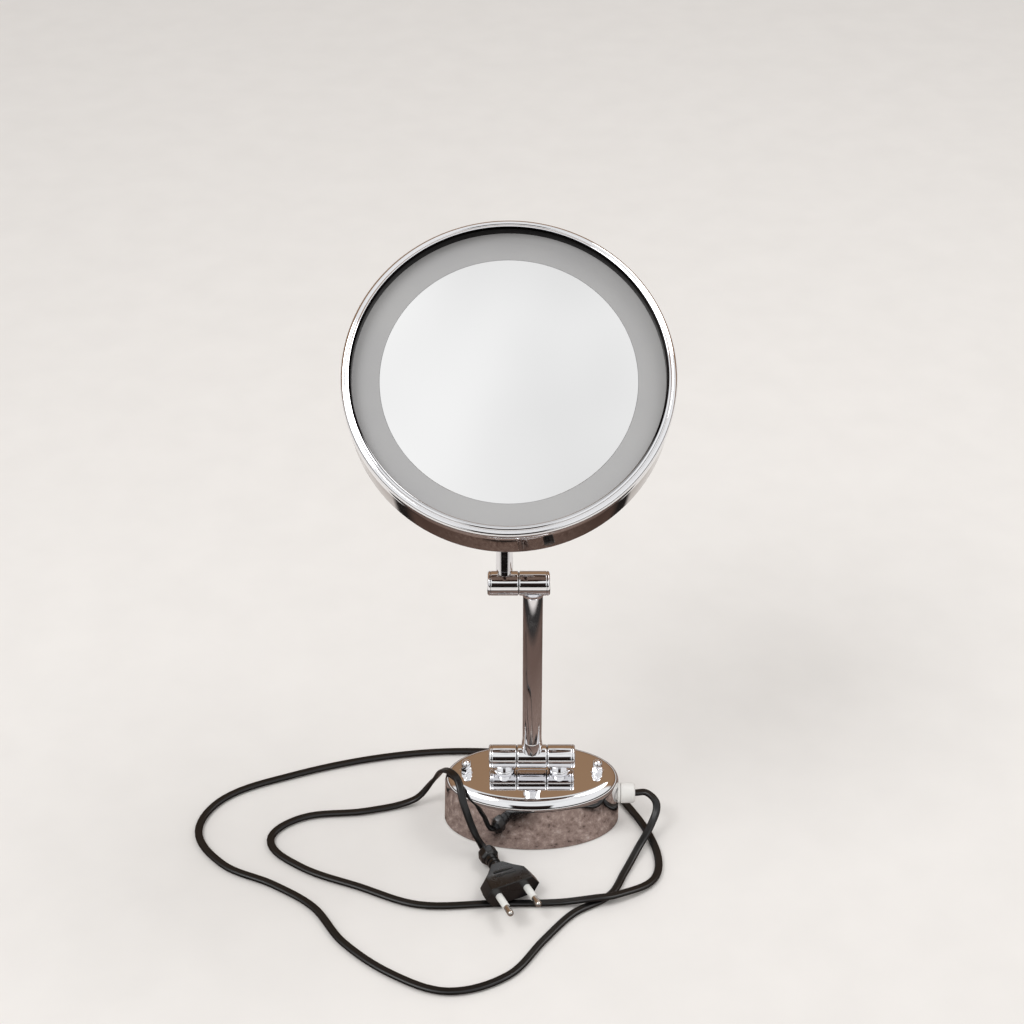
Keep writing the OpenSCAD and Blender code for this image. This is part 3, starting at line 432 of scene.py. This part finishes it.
# %% [markdown]
# ## Where things are
# The joints of the CAD model say where each hinge is. Each arm and the head has its own frame, and
# a piece is made upright at the origin and then put there.

# %% Hinges and frames
joint = {j["name"]: j for j in frame["joints"]}


def hinge_at(name):
    return Matrix.Translation(joint[name]["pos_m"])


LOWER_LEAN, UPPER_LEAN, HEAD_LEAN = -4.3, -21.2, 37.7   # degrees from upright, at rest
ARM_APART = 17.2                         # the upper arm stands this far left of the lower one
base_hinge = hinge_at("base_swing")
lower = base_hinge @ about("X", LOWER_LEAN)
elbow = at(0, 13.42, 180.628)
upper = at(-ARM_APART, 0, 0) @ elbow @ about("X", UPPER_LEAN)
head_hinge = hinge_at("head_swing")
head = head_hinge @ about("X", HEAD_LEAN)
HALF_LEN, HALF_WID, BASE_H = 56.3, 30.8, 38.2
print("head hinge at", tuple(round(v, 4) for v in head_hinge.translation))

# %% [markdown]
# ## The oval wall box
# The cover is one deep drawn shell, so it is one surface: an oval ring pulled up, rounded over at
# the top and closed, then thickened inwards. Where the drawing die rounded the top edge is where
# the brightest reflection lies, so that edge has the most rings.

# %% The drawn cover
EDGE_R, DRAFT = 7, 0.9                   # the rounded edge, and how far the wall leans in below it
rounded = arc(0, BASE_H - EDGE_R, EDGE_R, 0, 90, 14)
inset = [(0.0, 0.0), (0.02, 0.6), (0.86, 30.5)] + [(DRAFT + EDGE_R - x, z) for x, z in rounded]
cover = turned("oval_cover", [(HALF_LEN - i, z) for i, z in inset] + [(0, BASE_H)], 160,
               lambda r: r - HALF_LEN + HALF_WID)
modify(cover, "SOLIDIFY", thickness=1.2 * MM, offset=-1)
tidy(cover, 25)
finished(cover, "wall_box", chrome_plate, "chromed_steel", "wall_cover")

# %% [markdown]
# ## Domed nuts
# Each nut is a hexagon with its corners turned off and a dome pressed on, over a thin washer. The
# hexagon is a six-sided turning with a bevel; the dome is a second turning that sits in it.

# %% Nuts and washers
STUD_X, STUD_Y = 41.7, 1.5


def domed_nut(side):
    bore = 2.01
    washer = turned("washer", [(bore, 0), (4.1, 0), (4.23, 0.15), (4.23, 0.65), (4.1, 0.8), (bore, 0.8),
                               (bore, 0)])
    hexagon = turned("hexagon", [(bore, 0.8), (3.83, 0.8), (3.83, 4.2), (bore, 4.2), (bore, 0.8)], 6)
    modify(hexagon, "BEVEL", width=0.28 * MM, segments=2, limit_method="ANGLE")
    dome = turned("dome", [(bore, 4.0), (3.2, 4.0), (3.2, 4.6), *arc(0, 5.55, 3.25, 0, 80, 8), (0, 8.8)], 48)
    nut = joined("domed_nut_" + ("right" if side > 0 else "left"), dome, hexagon)
    for piece in (nut, washer):
        put(piece, at(side * STUD_X, STUD_Y, BASE_H))
        tidy(piece)
    return nut, washer


nuts, washers = zip(domed_nut(-1), domed_nut(1))
nut_pair = joined("domed_nuts", *nuts)
washer_pair = joined("nut_washer_pair", *washers)
finished(nut_pair, "wall_box", chrome_plate, "chromed_steel", "acorn_nuts")
finished(washer_pair, "wall_box", chrome_plate, "chromed_steel", "nut_washers")

# %% [markdown]
# ## The hinges
# A hinge barrel is bar stock with its ends eased, so that two barrels that meet show a fine
# groove. Every barrel here is the same profile at another length or diameter.

# %% Barrels and caps
BARREL, HEAD_BARREL = 15, 14             # diameters
HINGE_HALF = 25.6                        # half the length of the base hinge, without its caps


def barrel(name, diameter, x0, x1, ease=0.7):
    """A bar from x0 to x1, with its ends eased."""
    r, length = diameter / 2, x1 - x0
    profile = [(0, 0), *arc(r - ease, ease, ease, -90, 0, 4), *arc(r - ease, length - ease, ease, 0, 90, 4),
               (0, length)]
    return put(turned(name, profile, 96), at(x0, 0, 0) @ LIE_X)


def cap(name, diameter, thick, x, side):
    """A round-edged cap on a barrel's end. side is 1 for the right end and -1 for the left."""
    r = diameter / 2
    profile = [(0, 0), (r, 0), *arc(r - 0.8 * thick, 0.2 * thick, 0.8 * thick, 0, 90, 6), (0, thick)]
    piece = turned(name, profile, 96)
    return put(piece, at(x, 0, 0) @ (LIE_X if side > 0 else about("Y", -90)))


for side, name in ((-1, "left"), (1, "right")):
    bar = put(barrel("bar", BARREL, *sorted((side * 9.825, side * HINGE_HALF))), base_hinge)
    foot = turned("foot", [(2, -7), (4, -7), (4, 0), (6.6, 0), (6.8, 0.2), (6.8, 0.9), (6.5, 1.2),
                           *arc(7.2, 2.4, 1.2, 270, 180, 4), (6, 9.5), (2, 9.5), (2, -7)], 64)
    put(foot, at(side * 17.6, 3.5, BASE_H))
    knuckle = joined("hinge_knuckle_" + name, bar, foot)
    finished(tidy(knuckle), "wall_box", chrome_plate, "chromed_steel", "hinge_foot_" + name)

ends = [put(cap("cap", BARREL, 1.8, side * HINGE_HALF, side), base_hinge) for side in (-1, 1)]
finished(joined("base_barrel_ends", *ends), "wall_box", chrome_plate, "chromed_steel", "base_hinge_caps")

# %% [markdown]
# ## The lower arm
# A drawn tube plugged into two barrels. A short flared collar hides the joint at its foot, and
# spreads wider where it meets the barrel.

# %% Lower arm
ARM = 132.3                              # from the base hinge to the elbow
SHOULDER, SPIGOT = 8.2, 18.2             # from a hinge: where the tube starts, and its spigot ends
middle = put(barrel("middle", BARREL, -9.35, 9.35), base_hinge)
socket = put(turned("socket", [(2, 4), (6, 4), (6, 8.0), (5.8, SHOULDER), (4.99, SHOULDER), (4.99, SPIGOT),
                               (2, SPIGOT), (2, 4)]), lower)
finished(joined("base_middle_knuckle", middle, socket), "lower_arm", chrome_plate, "chromed_steel",
         "base_centre_knuckle")

collar = turned("tube_collar", [(6.02, 5.6), (6.78, 5.6), (6.74, 7.6), (6.6, 9.4), (6.42, 11), (6.25, 12.4),
                                (6.12, 13.3), (6.06, 13.5), (6.02, 13.5), (6.02, 5.6)], 96)
finished(put(collar, lower), "lower_arm", chrome_plate, "chromed_steel", "lower_arm_ferrule")


def tube(name, outer, wall, z0, z1):
    """A tube from z0 to z1, with its outer edges eased."""
    r, inner = outer / 2, outer / 2 - wall
    return turned(name, [(inner, z0), (r - 0.15, z0), (r, z0 + 0.15), (r, z1 - 0.15), (r - 0.15, z1),
                         (inner, z1), (inner, z0)], 96)


finished(put(tube("lower_tube", 12, 1, SHOULDER, ARM - SHOULDER), lower), "lower_arm", chrome_tube,
         "chromed_steel", "lower_arm_tube")

# %% The elbow
right = put(barrel("right", BARREL, -8.4, 8.4), elbow)
stub = turned("stub", [(2, ARM - SPIGOT), (4.99, ARM - SPIGOT), (4.99, ARM - SHOULDER), (6, ARM - SHOULDER),
                       (6, ARM - 4), (2, ARM - 4), (2, ARM - SPIGOT)])
fillet = turned("fillet", [(6.0, ARM - 8.3), (6.35, ARM - 8.2), (7.0, ARM - 7.2), (7.3, ARM - 5.6),
                           (6.0, ARM - 5.6), (6.0, ARM - 8.3)], 96)
for piece in (stub, fillet):
    put(piece, lower)
finished(joined("elbow_barrel_right", right, stub, fillet), "lower_arm", chrome_plate, "chromed_steel",
         "elbow_knuckle_lower")
finished(put(cap("elbow_end_right", BARREL, 1.8, 8.4, 1), elbow), "lower_arm", chrome_plate,
         "chromed_steel", "elbow_cap_right")

# %% [markdown]
# ## The upper arm
# The same again, one size down, and set beside the lower arm so that the two can fold past each
# other.

# %% Upper arm
TUBE_END = 98                            # from the elbow to where the upper tube stops
left = put(barrel("left", BARREL, -25.6, -8.8), elbow)
socket = put(turned("socket", [(2, 4), (5, 4), (5, SHOULDER), (3.99, SHOULDER), (3.99, SPIGOT), (2, SPIGOT),
                               (2, 4)]), upper)
finished(joined("elbow_barrel_left", left, socket), "upper_arm", chrome_plate, "chromed_steel",
         "elbow_knuckle_upper")
finished(put(cap("elbow_end_left", BARREL, 1.8, -25.6, -1), elbow), "upper_arm", chrome_plate,
         "chromed_steel", "elbow_cap_left")
finished(put(tube("upper_tube", 10, 1, SHOULDER, TUBE_END), upper), "upper_arm", chrome_tube,
         "chromed_steel", "upper_arm_tube")

top = put(barrel("top", HEAD_BARREL, -8, 8), head_hinge)
stub = turned("stub", [(2, TUBE_END - 10), (3.99, TUBE_END - 10), (3.99, TUBE_END), (5, TUBE_END),
                       (5, TUBE_END + 5), (2, TUBE_END + 5), (2, TUBE_END - 10)])
finished(joined("head_middle_knuckle", top, put(stub, upper)), "upper_arm", chrome_plate, "chromed_steel",
         "head_centre_knuckle")

# %% [markdown]
# ## The joint behind the head
# A yoke straddles the last barrel, and a flat tongue on it takes the tilt pin. It is milled from
# one block: a bar between two barrels, with a tongue pulled out of its middle.

# %% Yoke


def block(name, low, high, ease=0.5):
    """A block between two corners, with its edges eased."""
    centre = [(a + b) / 2 * MM for a, b in zip(low, high)]
    bpy.ops.object.select_all(action="DESELECT")
    bpy.ops.mesh.primitive_cube_add(size=1, location=centre)
    piece = bpy.context.object
    piece.name = piece.data.name = name
    bpy.ops.object.mode_set(mode="EDIT")
    bpy.ops.mesh.select_all(action="SELECT")
    bpy.ops.transform.resize(value=[(b - a) * MM for a, b in zip(low, high)], center_override=centre)
    bpy.ops.object.mode_set(mode="OBJECT")
    bpy.ops.object.transform_apply(location=True, rotation=True, scale=True)
    modify(piece, "BEVEL", width=ease * MM, segments=3, limit_method="ANGLE")
    return tidy(piece)


TILT_Z = 14.8                            # from the head hinge out to the tilt pin
yoke_parts = [
    barrel("ear", HEAD_BARREL, 8.4, 14.9), barrel("ear", HEAD_BARREL, -14.9, -8.4),
    block("cheek", (8.4, -4, 1), (14.9, 4, 10)), block("cheek", (-14.9, -4, 1), (-8.4, 4, 10)),
    block("bridge", (-14.9, -4, 7.5), (14.9, 4, 10)), block("tongue", (-4, -4, 8), (4, 4, 15)),
    put(turned("eye", [(2.05, 0), (3.6, 0), (4, 0.4), (4, 7.6), (3.6, 8), (2.05, 8), (2.05, 0)]),
        at(0, -4, TILT_Z) @ LIE_Y)]
yoke = put(joined("head_fork", *yoke_parts), head)
finished(yoke, "yoke", chrome_plate, "chromed_steel", "head_yoke")
ends = [put(cap("cap", HEAD_BARREL, 1.4, side * 14.9, side), head) for side in (-1, 1)]
finished(joined("head_barrel_ends", *ends), "yoke", chrome_plate, "chromed_steel", "head_hinge_caps")

# %% The bracket on the casing
disc = turned("disc", [(0, 19.4), (21.4, 19.4), (22, 20), (22, 22), (0, 22)], 96)
lugs = []
for side in (-1, 1):
    y0, y1 = sorted((side * 4.3, side * 8.3))
    lugs.append(block("lug", (-4, y0, TILT_Z), (4, y1, 21)))
    lugs.append(put(turned("eye", [(2.01, 0), (3.6, 0), (4, 0.4), (4, 3.6), (3.6, 4), (2.01, 4), (2.01, 0)]),
                    at(0, y0, TILT_Z) @ LIE_Y))
bracket = put(joined("casing_mount", disc, *lugs), head)
finished(bracket, "mirror_head", chrome_plate, "chromed_steel", "casing_bracket")


def pan_screw(x, y, z):
    pan = turned("screw", [(0, 1.8), (2.6, 1.8), (2.8, 1.6), (2.75, 0.9), (2.2, 0.25), (1.5, 0.05),
                           (1.0, 0.0), (0.9, 0.0), (0.9, 0.9), (0, 0.9)], 40)
    shank = turned("shank", [(0, 1.8), (1.5, 1.8), (1.5, 5.8), (1.2, 6.2), (0, 6.2)], 24)
    return put(joined("screw", pan, shank), at(x, y, z))


SCREW_RING = 17                          # radius of the four screws' circle
screws = [pan_screw(SCREW_RING * math.cos(math.radians(q)), SCREW_RING * math.sin(math.radians(q)), 17.6)
          for q in (45, 135, 225, 315)]
finished(put(joined("casing_screws", *screws), head), "mirror_head", zinc_plate, "zinc_steel",
         "bracket_screws")

# %% [markdown]
# ## The head
# The casing is a shallow spun dish. The bezel clips over its rim and steps down twice: a bright
# outer roll, a fine groove, and an inner roll that drops to the frosted ring. The ring is acrylic
# and dishes down to the mirror, so the light behind it spills onto a face.

# %% Casing
SIDES = 192
RIM = 62.0                               # the bezel's front, measured from the head hinge
CASING_R = 93.2
casing = turned("spun_casing", [
    (0, 22), *arc(88.2, 27, 5, -90, 0, 8), (CASING_R, 52.2), (92.7, 52.5), (92.7, 53.4), (CASING_R, 53.7),
    (CASING_R, 55.5), (92.4, 55.5), *arc(88.2, 27, 4.2, 0, -90, 8), (0, 22.8)], SIDES)
# The casing's plate carries a painted reflection, the brown of a dim room.
finished(put(casing, head), "mirror_head", casing_painted_reflection, "chromed_steel", "rear_casing")

# %% Bezel
bezel = turned("bezel_ring", [
    (88, RIM - 6.8), (88, RIM - 0.9), (88.15, RIM - 0.45), (88.6, RIM - 0.1), (89.4, RIM), (90.1, RIM - 0.15),
    (90.6, RIM - 0.5), (90.85, RIM - 0.85), (91.1, RIM - 0.9), (91.35, RIM - 0.7), (91.8, RIM - 0.6),
    (92.6, RIM - 0.7), (93.3, RIM - 1.15), (93.8, RIM - 1.8), (94.05, RIM - 2.6), (94.1, RIM - 7.7),
    (94.0, RIM - 8), (93.3, RIM - 8), (93.3, RIM - 6.4), (92.0, RIM - 6.4), (92.0, RIM - 8), (89, RIM - 8),
    (89, RIM - 6.8), (88, RIM - 6.8)], SIDES)
put(bezel, head)
finished(bezel, "mirror_head", chrome_plate, "chromed_steel", "front_bezel")

# %% The painted shade on the bezel's inner wall
INNER_WALL_R = 89.1                      # faces nearer the middle than this are the inner wall
PALE_BELOW, DARK_ABOVE = -84 * MM, -35 * MM   # up the head's face, from its middle
bezel.data.materials.append(painted_shade_chrome)
back_to_head = head.inverted()
shaded = 0
for face in bezel.data.polygons:
    spot = back_to_head @ face.center / MM
    if math.hypot(spot.x, spot.y) < INNER_WALL_R:
        face.material_index = 1
        shaded += 1
# The painted shade pales toward the wall's foot, as if light from above reached it there.
up = (head.to_3x3() @ Vector((0, 1, 0))).normalized()
middle_at = head.translation.dot(up)
tree = painted_shade_chrome.node_tree
height = add(tree, "ShaderNodeVectorMath", {0: place(tree), 1: up}, operation="DOT_PRODUCT").outputs["Value"]
shade = within(tree, height, middle_at + PALE_BELOW, middle_at + DARK_ABOVE)
tree.links.new(blend(tree, shade, colour(PAINTED_PALE_FOOT), colour(PAINTED_SHADE)),
               tree.nodes["Principled BSDF"].inputs["Base Color"])
print(shaded, "faces of the bezel's inner wall lie in shade, less so toward its foot")

# %% Diffuser and mirror
diffuser = turned("frosted_ring", [
    (88.8, RIM - 6.82), (88.0, RIM - 6.95), (80, RIM - 8.6), (73.4, RIM - 9.55), (72.8, RIM - 9.62),
    (72.8, RIM - 12.6), (69.7, RIM - 12.6), (69.7, RIM - 14.4), (74.7, RIM - 14.4), (74.7, RIM - 11.4),
    (88.8, RIM - 8.6), (88.8, RIM - 6.82)], SIDES)
finished(put(diffuser, head), "mirror_head", frosted, "frosted_plastic", "diffuser_ring")
glass = turned("mirror_disc", [(0, RIM - 12.6), (72.5, RIM - 12.6), (72.7, RIM - 12.4), (72.7, RIM - 9.7),
                               (72.6, RIM - 9.6), (0, RIM - 9.6)], SIDES)
finished(put(glass, head), "mirror_head", silvered_glass, "silvered_glass", "mirror_glass")

# %% Push button
FOOT, BUTTON_TURN = -90, 13.7            # degrees: the casing's foot, and the button's turn from it
BUTTON_Z = 42
button_at = head @ at(0, 0, BUTTON_Z) @ about("Z", FOOT + BUTTON_TURN) @ at(CASING_R, 0, 0) @ LIE_X
button = turned("button", [(0, -4.3), (3, -4.3), (3, 1.6), *arc(2.4, 1.8, 0.6, 0, 90, 4), (1.6, 2.32),
                           (0, 2.2)], 48)
finished(put(button, button_at), "push_button", black_button, "black_plastic", "switch_button")

# %% [markdown]
# ## The cable gland
# A white nylon gland grips the lead where it leaves the box. Its cap is a smooth, round-edged
# drum, with a thin dark line where it meets the body.

# %% Gland
gland_at = at(0, -3, 23) @ LIE_X
gland_base = turned("gland_base", [
    (4.1, 48), (4.8, 48), (4.8, 54.9), (6.2, 54.9), (6.4, 55.1), (6.4, 56.3), (6.2, 56.5), (5.1, 56.5),
    (5.1, 63.8), (4.1, 63.8), (4.1, 48)], 72)
finished(put(gland_base, gland_at), "wall_box", white_nylon, "white_nylon", "gland_body")
gland_nut = turned("gland_nut", [
    (5.2, 56.9), (6.3, 56.9), (6.55, 57.15), (6.6, 58.2), (6.45, 64.4), (6.2, 65.3), (5.7, 65.8), (5.0, 66),
    (4.1, 66), (4.1, 63.8), (5.2, 63.8), (5.2, 56.9)], 72)
finished(put(gland_nut, gland_at), "wall_box", white_nylon, "white_nylon", "gland_cap")

# %% [markdown]
# ## The plug
# A slim two-pin plug is moulded in one shot over its pins. Its body is a flat six-sided loaf that
# narrows to the lead: a six-sided ring pulled back and scaled at each station, then bevelled.
# Two bars across its back give the fingers a grip. Behind it a ringed neck and a round bulb keep
# the lead from bending sharply.

# %% Plug body
# Each station is a place behind the plug's face, with its width and height there.
stations = [(0.0, 36.0, 13.7), (-5, 36.0, 13.7), (-12, 34.2, 13.0), (-18, 21.6, 11.0), (-25, 10.1, 8.5)]
bpy.ops.object.select_all(action="DESELECT")
bpy.ops.mesh.primitive_circle_add(vertices=6, radius=1, location=(0, 0, 0))
plug = bpy.context.object
plug.name = plug.data.name = "plug_moulding"
corners = [(-1, 0), (-0.75, 1), (0.75, 1), (1, 0), (0.75, -1), (-0.75, -1)]
x0, w0, h0 = stations[0]
for point, (across, upward) in zip(plug.data.vertices, corners):
    point.co = (0, across * w0 / 2 * MM, upward * h0 / 2 * MM)
bpy.ops.object.mode_set(mode="EDIT")
bpy.ops.mesh.select_all(action="SELECT")
bpy.ops.mesh.edge_face_add()
for x, w, h in stations[1:]:
    pull(((x - x0) * MM, 0, 0))
    bpy.ops.transform.resize(value=(1, w / w0, h / h0), center_override=(x * MM, 0, 0))
    x0, w0, h0 = x, w, h
bpy.ops.mesh.edge_face_add()
bpy.ops.object.mode_set(mode="OBJECT")
tidy(plug)
modify(plug, "BEVEL", width=0.5 * MM, segments=3, limit_method="ANGLE", angle_limit=math.radians(12))
tidy(plug, 24)
grips = [block("grip", (-11.6, -7.0, 3), (-10.0, 7.0, 7.1)),
         block("grip", (-15.4, -6.4, 3), (-13.8, 6.4, 6.9))]
plug = put(joined("plug_moulding", plug, *grips), plug_at)
finished(plug, "wall_box", black_plug, "black_plastic", "plug_body")

# %% Strain relief, pins and sleeves
bulb = turned("bulb", [(0, BULB_BACK), (3.8, BULB_BACK), (4.2, -43.7), (5.2, -42.6), (6.1, -41.2),
                       (6.1, -36.2), (5.2, -34.6), (4.4, -34.2), (0, -34.2)], 8)
modify(put(bulb, about("Z", 22.5)), "BEVEL", width=0.25 * MM, segments=2, limit_method="ANGLE")
tidy(bulb, 24)
relief = turned("bend_relief", [
    (0, -36), (4.2, -36), (4.2, -33.4), (4.15, -31.4), (3.5, -31.1), (3.5, -30.1), (4.15, -29.8),
    (4.15, -28), (3.5, -27.7), (3.5, -26.7), (4.15, -26.4), (4.15, -25), (0, -25)], 40)
relief = put(joined("bend_relief", relief, bulb), plug_at @ LIE_X)
finished(relief, "wall_box", black_plug, "black_plastic", "plug_strain_relief")
PIN_APART = 18.6
pins, sleeves = [], []
for side in (-1, 1):
    spot = plug_at @ at(0, side * PIN_APART / 2, 0) @ LIE_X
    pin = turned("pin", [(0, -4), (1.8, -4), (1.8, 13.9), (2, 14.1), (2, 17), *arc(0, 17, 2, 12, 78, 6),
                         (0, 19)], 40)
    sleeve = turned("sleeve", [(1.81, -2), (2.3, -2), (2.3, 10.7), (2.1, 11), (1.81, 11), (1.81, -2)], 40)
    pins.append(put(pin, spot))
    sleeves.append(put(sleeve, spot))
pin_pair = finished(joined("plug_pin_pair", *pins), "wall_box", nickel, "plated_brass", "plug_pins")
sleeve_pair = finished(joined("pin_sleeve_pair", *sleeves), "wall_box", white_gloss, "white_plastic",
                       "plug_pin_sleeves")

# %% The lead joins its plug
select_only(cord)
bpy.ops.object.shade_smooth_by_angle(angle=math.radians(50))
finished(cord, "wall_box", cord_sheath, "cable_sheath", "power_cord")

# %% [markdown]
# ## What is inside
# The parts that the covers hide keep their CAD shapes and get real finishes, so that an opened or
# cut view is right too.

# %% Finishes for the hidden pieces
hidden = {
    zinc_plate: ["mounting_plate", "mounting_studs", "hinge_foot_washers", "hinge_foot_nuts",
                 "base_hinge_pin", "transformer_strap", "strap_screws", "terminal_screws", "elbow_pin",
                 "head_hinge_pin", "tilt_pin", "switch_spring"],
    rubber_seal: ["gland_seal", "base_hinge_washers", "elbow_washer", "head_hinge_washers"],
    white_nylon: ["gland_locknut"], cord_sheath: ["lead_tail"], core_blue: ["lead_cores"],
    core_varnish: ["transformer_core"], coil_tape: ["transformer_coil"],
    white_gloss: ["terminal_block", "led_board"],
    lead_white: ["lamp_lead_base", "lamp_lead_lower", "lamp_lead_upper"],
    aluminium: ["led_tray"], phosphor: ["led_chips"], black_plug: ["switch_body"],
}
for material, names in hidden.items():
    for name in names:
        mesh = frame["nodes"][name].data
        mesh.materials.clear()
        mesh.materials.append(material)
print(sum(len(v) for v in hidden.values()), "hidden pieces have their finish")

# %% [markdown]
# ## Table, light and surroundings
# Chrome is only as good as what it mirrors, so what the metal sees is kept apart from what the
# camera sees. The camera sees a plain, pale table. Reflections see a round slab of mottled stone
# under the object, with a darker border and a thin black line round it.

# %% Table
bpy.ops.object.select_all(action="DESELECT")
bpy.ops.mesh.primitive_plane_add(size=12, location=(0, 0, -0.0004))
table = bpy.context.object
table.name = "table_top"
# How far from the middle the mottled stone gives way to the slab's plain border, in metres.
MOTTLED, PLAIN = 0.08, 0.19
BORDER, LINE_IN, LINE_OUT, BEYOND = 0.22, 0.245, 0.27, 0.285
paper, tree, shader = finish("paper_matte_pale", Roughness=0.8)
pale = ramp(tree, noise(tree, 40, 3.0), [(0.3, "#E9E6E3"), (0.7, "#ECE9E6")])
stone = ramp(tree, noise(tree, 7, 6.0, 0.75), [(0.33, "#2A1D19"), (0.42, "#7F6A61"), (0.56, "#99857B"),
                                               (0.7, "#C4B4AB")])
away = add(tree, "ShaderNodeVectorMath", {0: place(tree)}, operation="LENGTH").outputs["Value"]
border = ramp(tree, away, [(BORDER, "#614C43"), (LINE_IN, "#0E0A09"), (LINE_OUT, "#0E0A09"),
                           (BEYOND, "#E8E5E2")])
slab = blend(tree, within(tree, away, MOTTLED, PLAIN), stone, border)
is_glossy = add(tree, "ShaderNodeLightPath").outputs["Is Glossy Ray"]
tree.links.new(blend(tree, is_glossy, pale, slab), shader.inputs["Base Color"])
table.data.materials.append(paper)

# %% [markdown]
# The room that reflections see has a white, softly clouded ceiling and a warm brown wall behind.
# In front it is dark up to the height of a counter and white above it, with a dark figure standing
# in the middle. Only reflections see it: all else is lit by an even, nearly white surround and by
# two soft lamps overhead.

# %% Room
bpy.context.scene.view_settings.view_transform = "Standard"
world = bpy.data.worlds.new("studio")
bpy.context.scene.world = world
world.use_nodes = True
tree = world.node_tree
tree.nodes.clear()
ray = add(tree, "ShaderNodeLightPath")
toward = add(tree, "ShaderNodeTexCoord").outputs["Generated"]
axes = add(tree, "ShaderNodeSeparateXYZ", {"Vector": toward}).outputs
height = within(tree, axes["Z"], -1, 1)
clouds = add(tree, "ShaderNodeTexNoise", {"Vector": toward, "Scale": 6.0, "Detail": 2.0}).outputs[0]
ceiling = ramp(tree, clouds, [(0.35, "#DEDEDE"), (0.65, "#FCFCFC")])
wall = ramp(tree, height, [(0.50, "#5A4335"), (0.62, "#93755B"), (0.9, "#9A7C61")])
low = ramp(tree, height, [(0.46, "#0C0A0A"), (0.57, "#151110"), (0.59, "#F4F4F4"), (0.9, "#F8F8F8")])
person = ramp(tree, height, [(0.46, "#0C0A0A"), (0.62, "#1C1513"), (0.78, "#2E2421"), (0.81, "#F4F4F4")])
sideways = add(tree, "ShaderNodeMath", {0: axes["X"]}, operation="ABSOLUTE").outputs[0]
front = blend(tree, within(tree, sideways, 0.2, 0.24), person, low)
around = blend(tree, within(tree, axes["Y"], -0.08, 0.08), front, wall)
room = blend(tree, within(tree, axes["Z"], 0.80, 0.84), around, ceiling)
mirrored = add(tree, "ShaderNodeBackground", {"Color": room, "Strength": 1.0})
plain = add(tree, "ShaderNodeBackground", {"Color": colour("#F1EFED"), "Strength": 0.8})
either = add(tree, "ShaderNodeMixShader", {0: ray.outputs["Is Glossy Ray"], 1: plain.outputs[0],
                                           2: mirrored.outputs[0]})
add(tree, "ShaderNodeOutputWorld", {"Surface": either.outputs[0]})

# %% Lights
AIM = Vector((0, 0, 0.15))               # the middle of the object


def soft_light(name, location, size, watts):
    light = bpy.data.lights.new(name, "AREA")
    light.shape, light.size, light.energy = "DISK", size, watts
    lamp = bpy.data.objects.new(name, light)
    lamp.location = location
    lamp.rotation_euler = (AIM - Vector(location)).to_track_quat("-Z", "Y").to_euler()
    bpy.context.scene.collection.objects.link(lamp)


soft_light("light_over_left", (-0.9, -0.5, 1.7), 0.9, 10)
soft_light("light_over_right", (0.8, 0.3, 1.6), 0.9, 7)
print("the room and its lights are set")
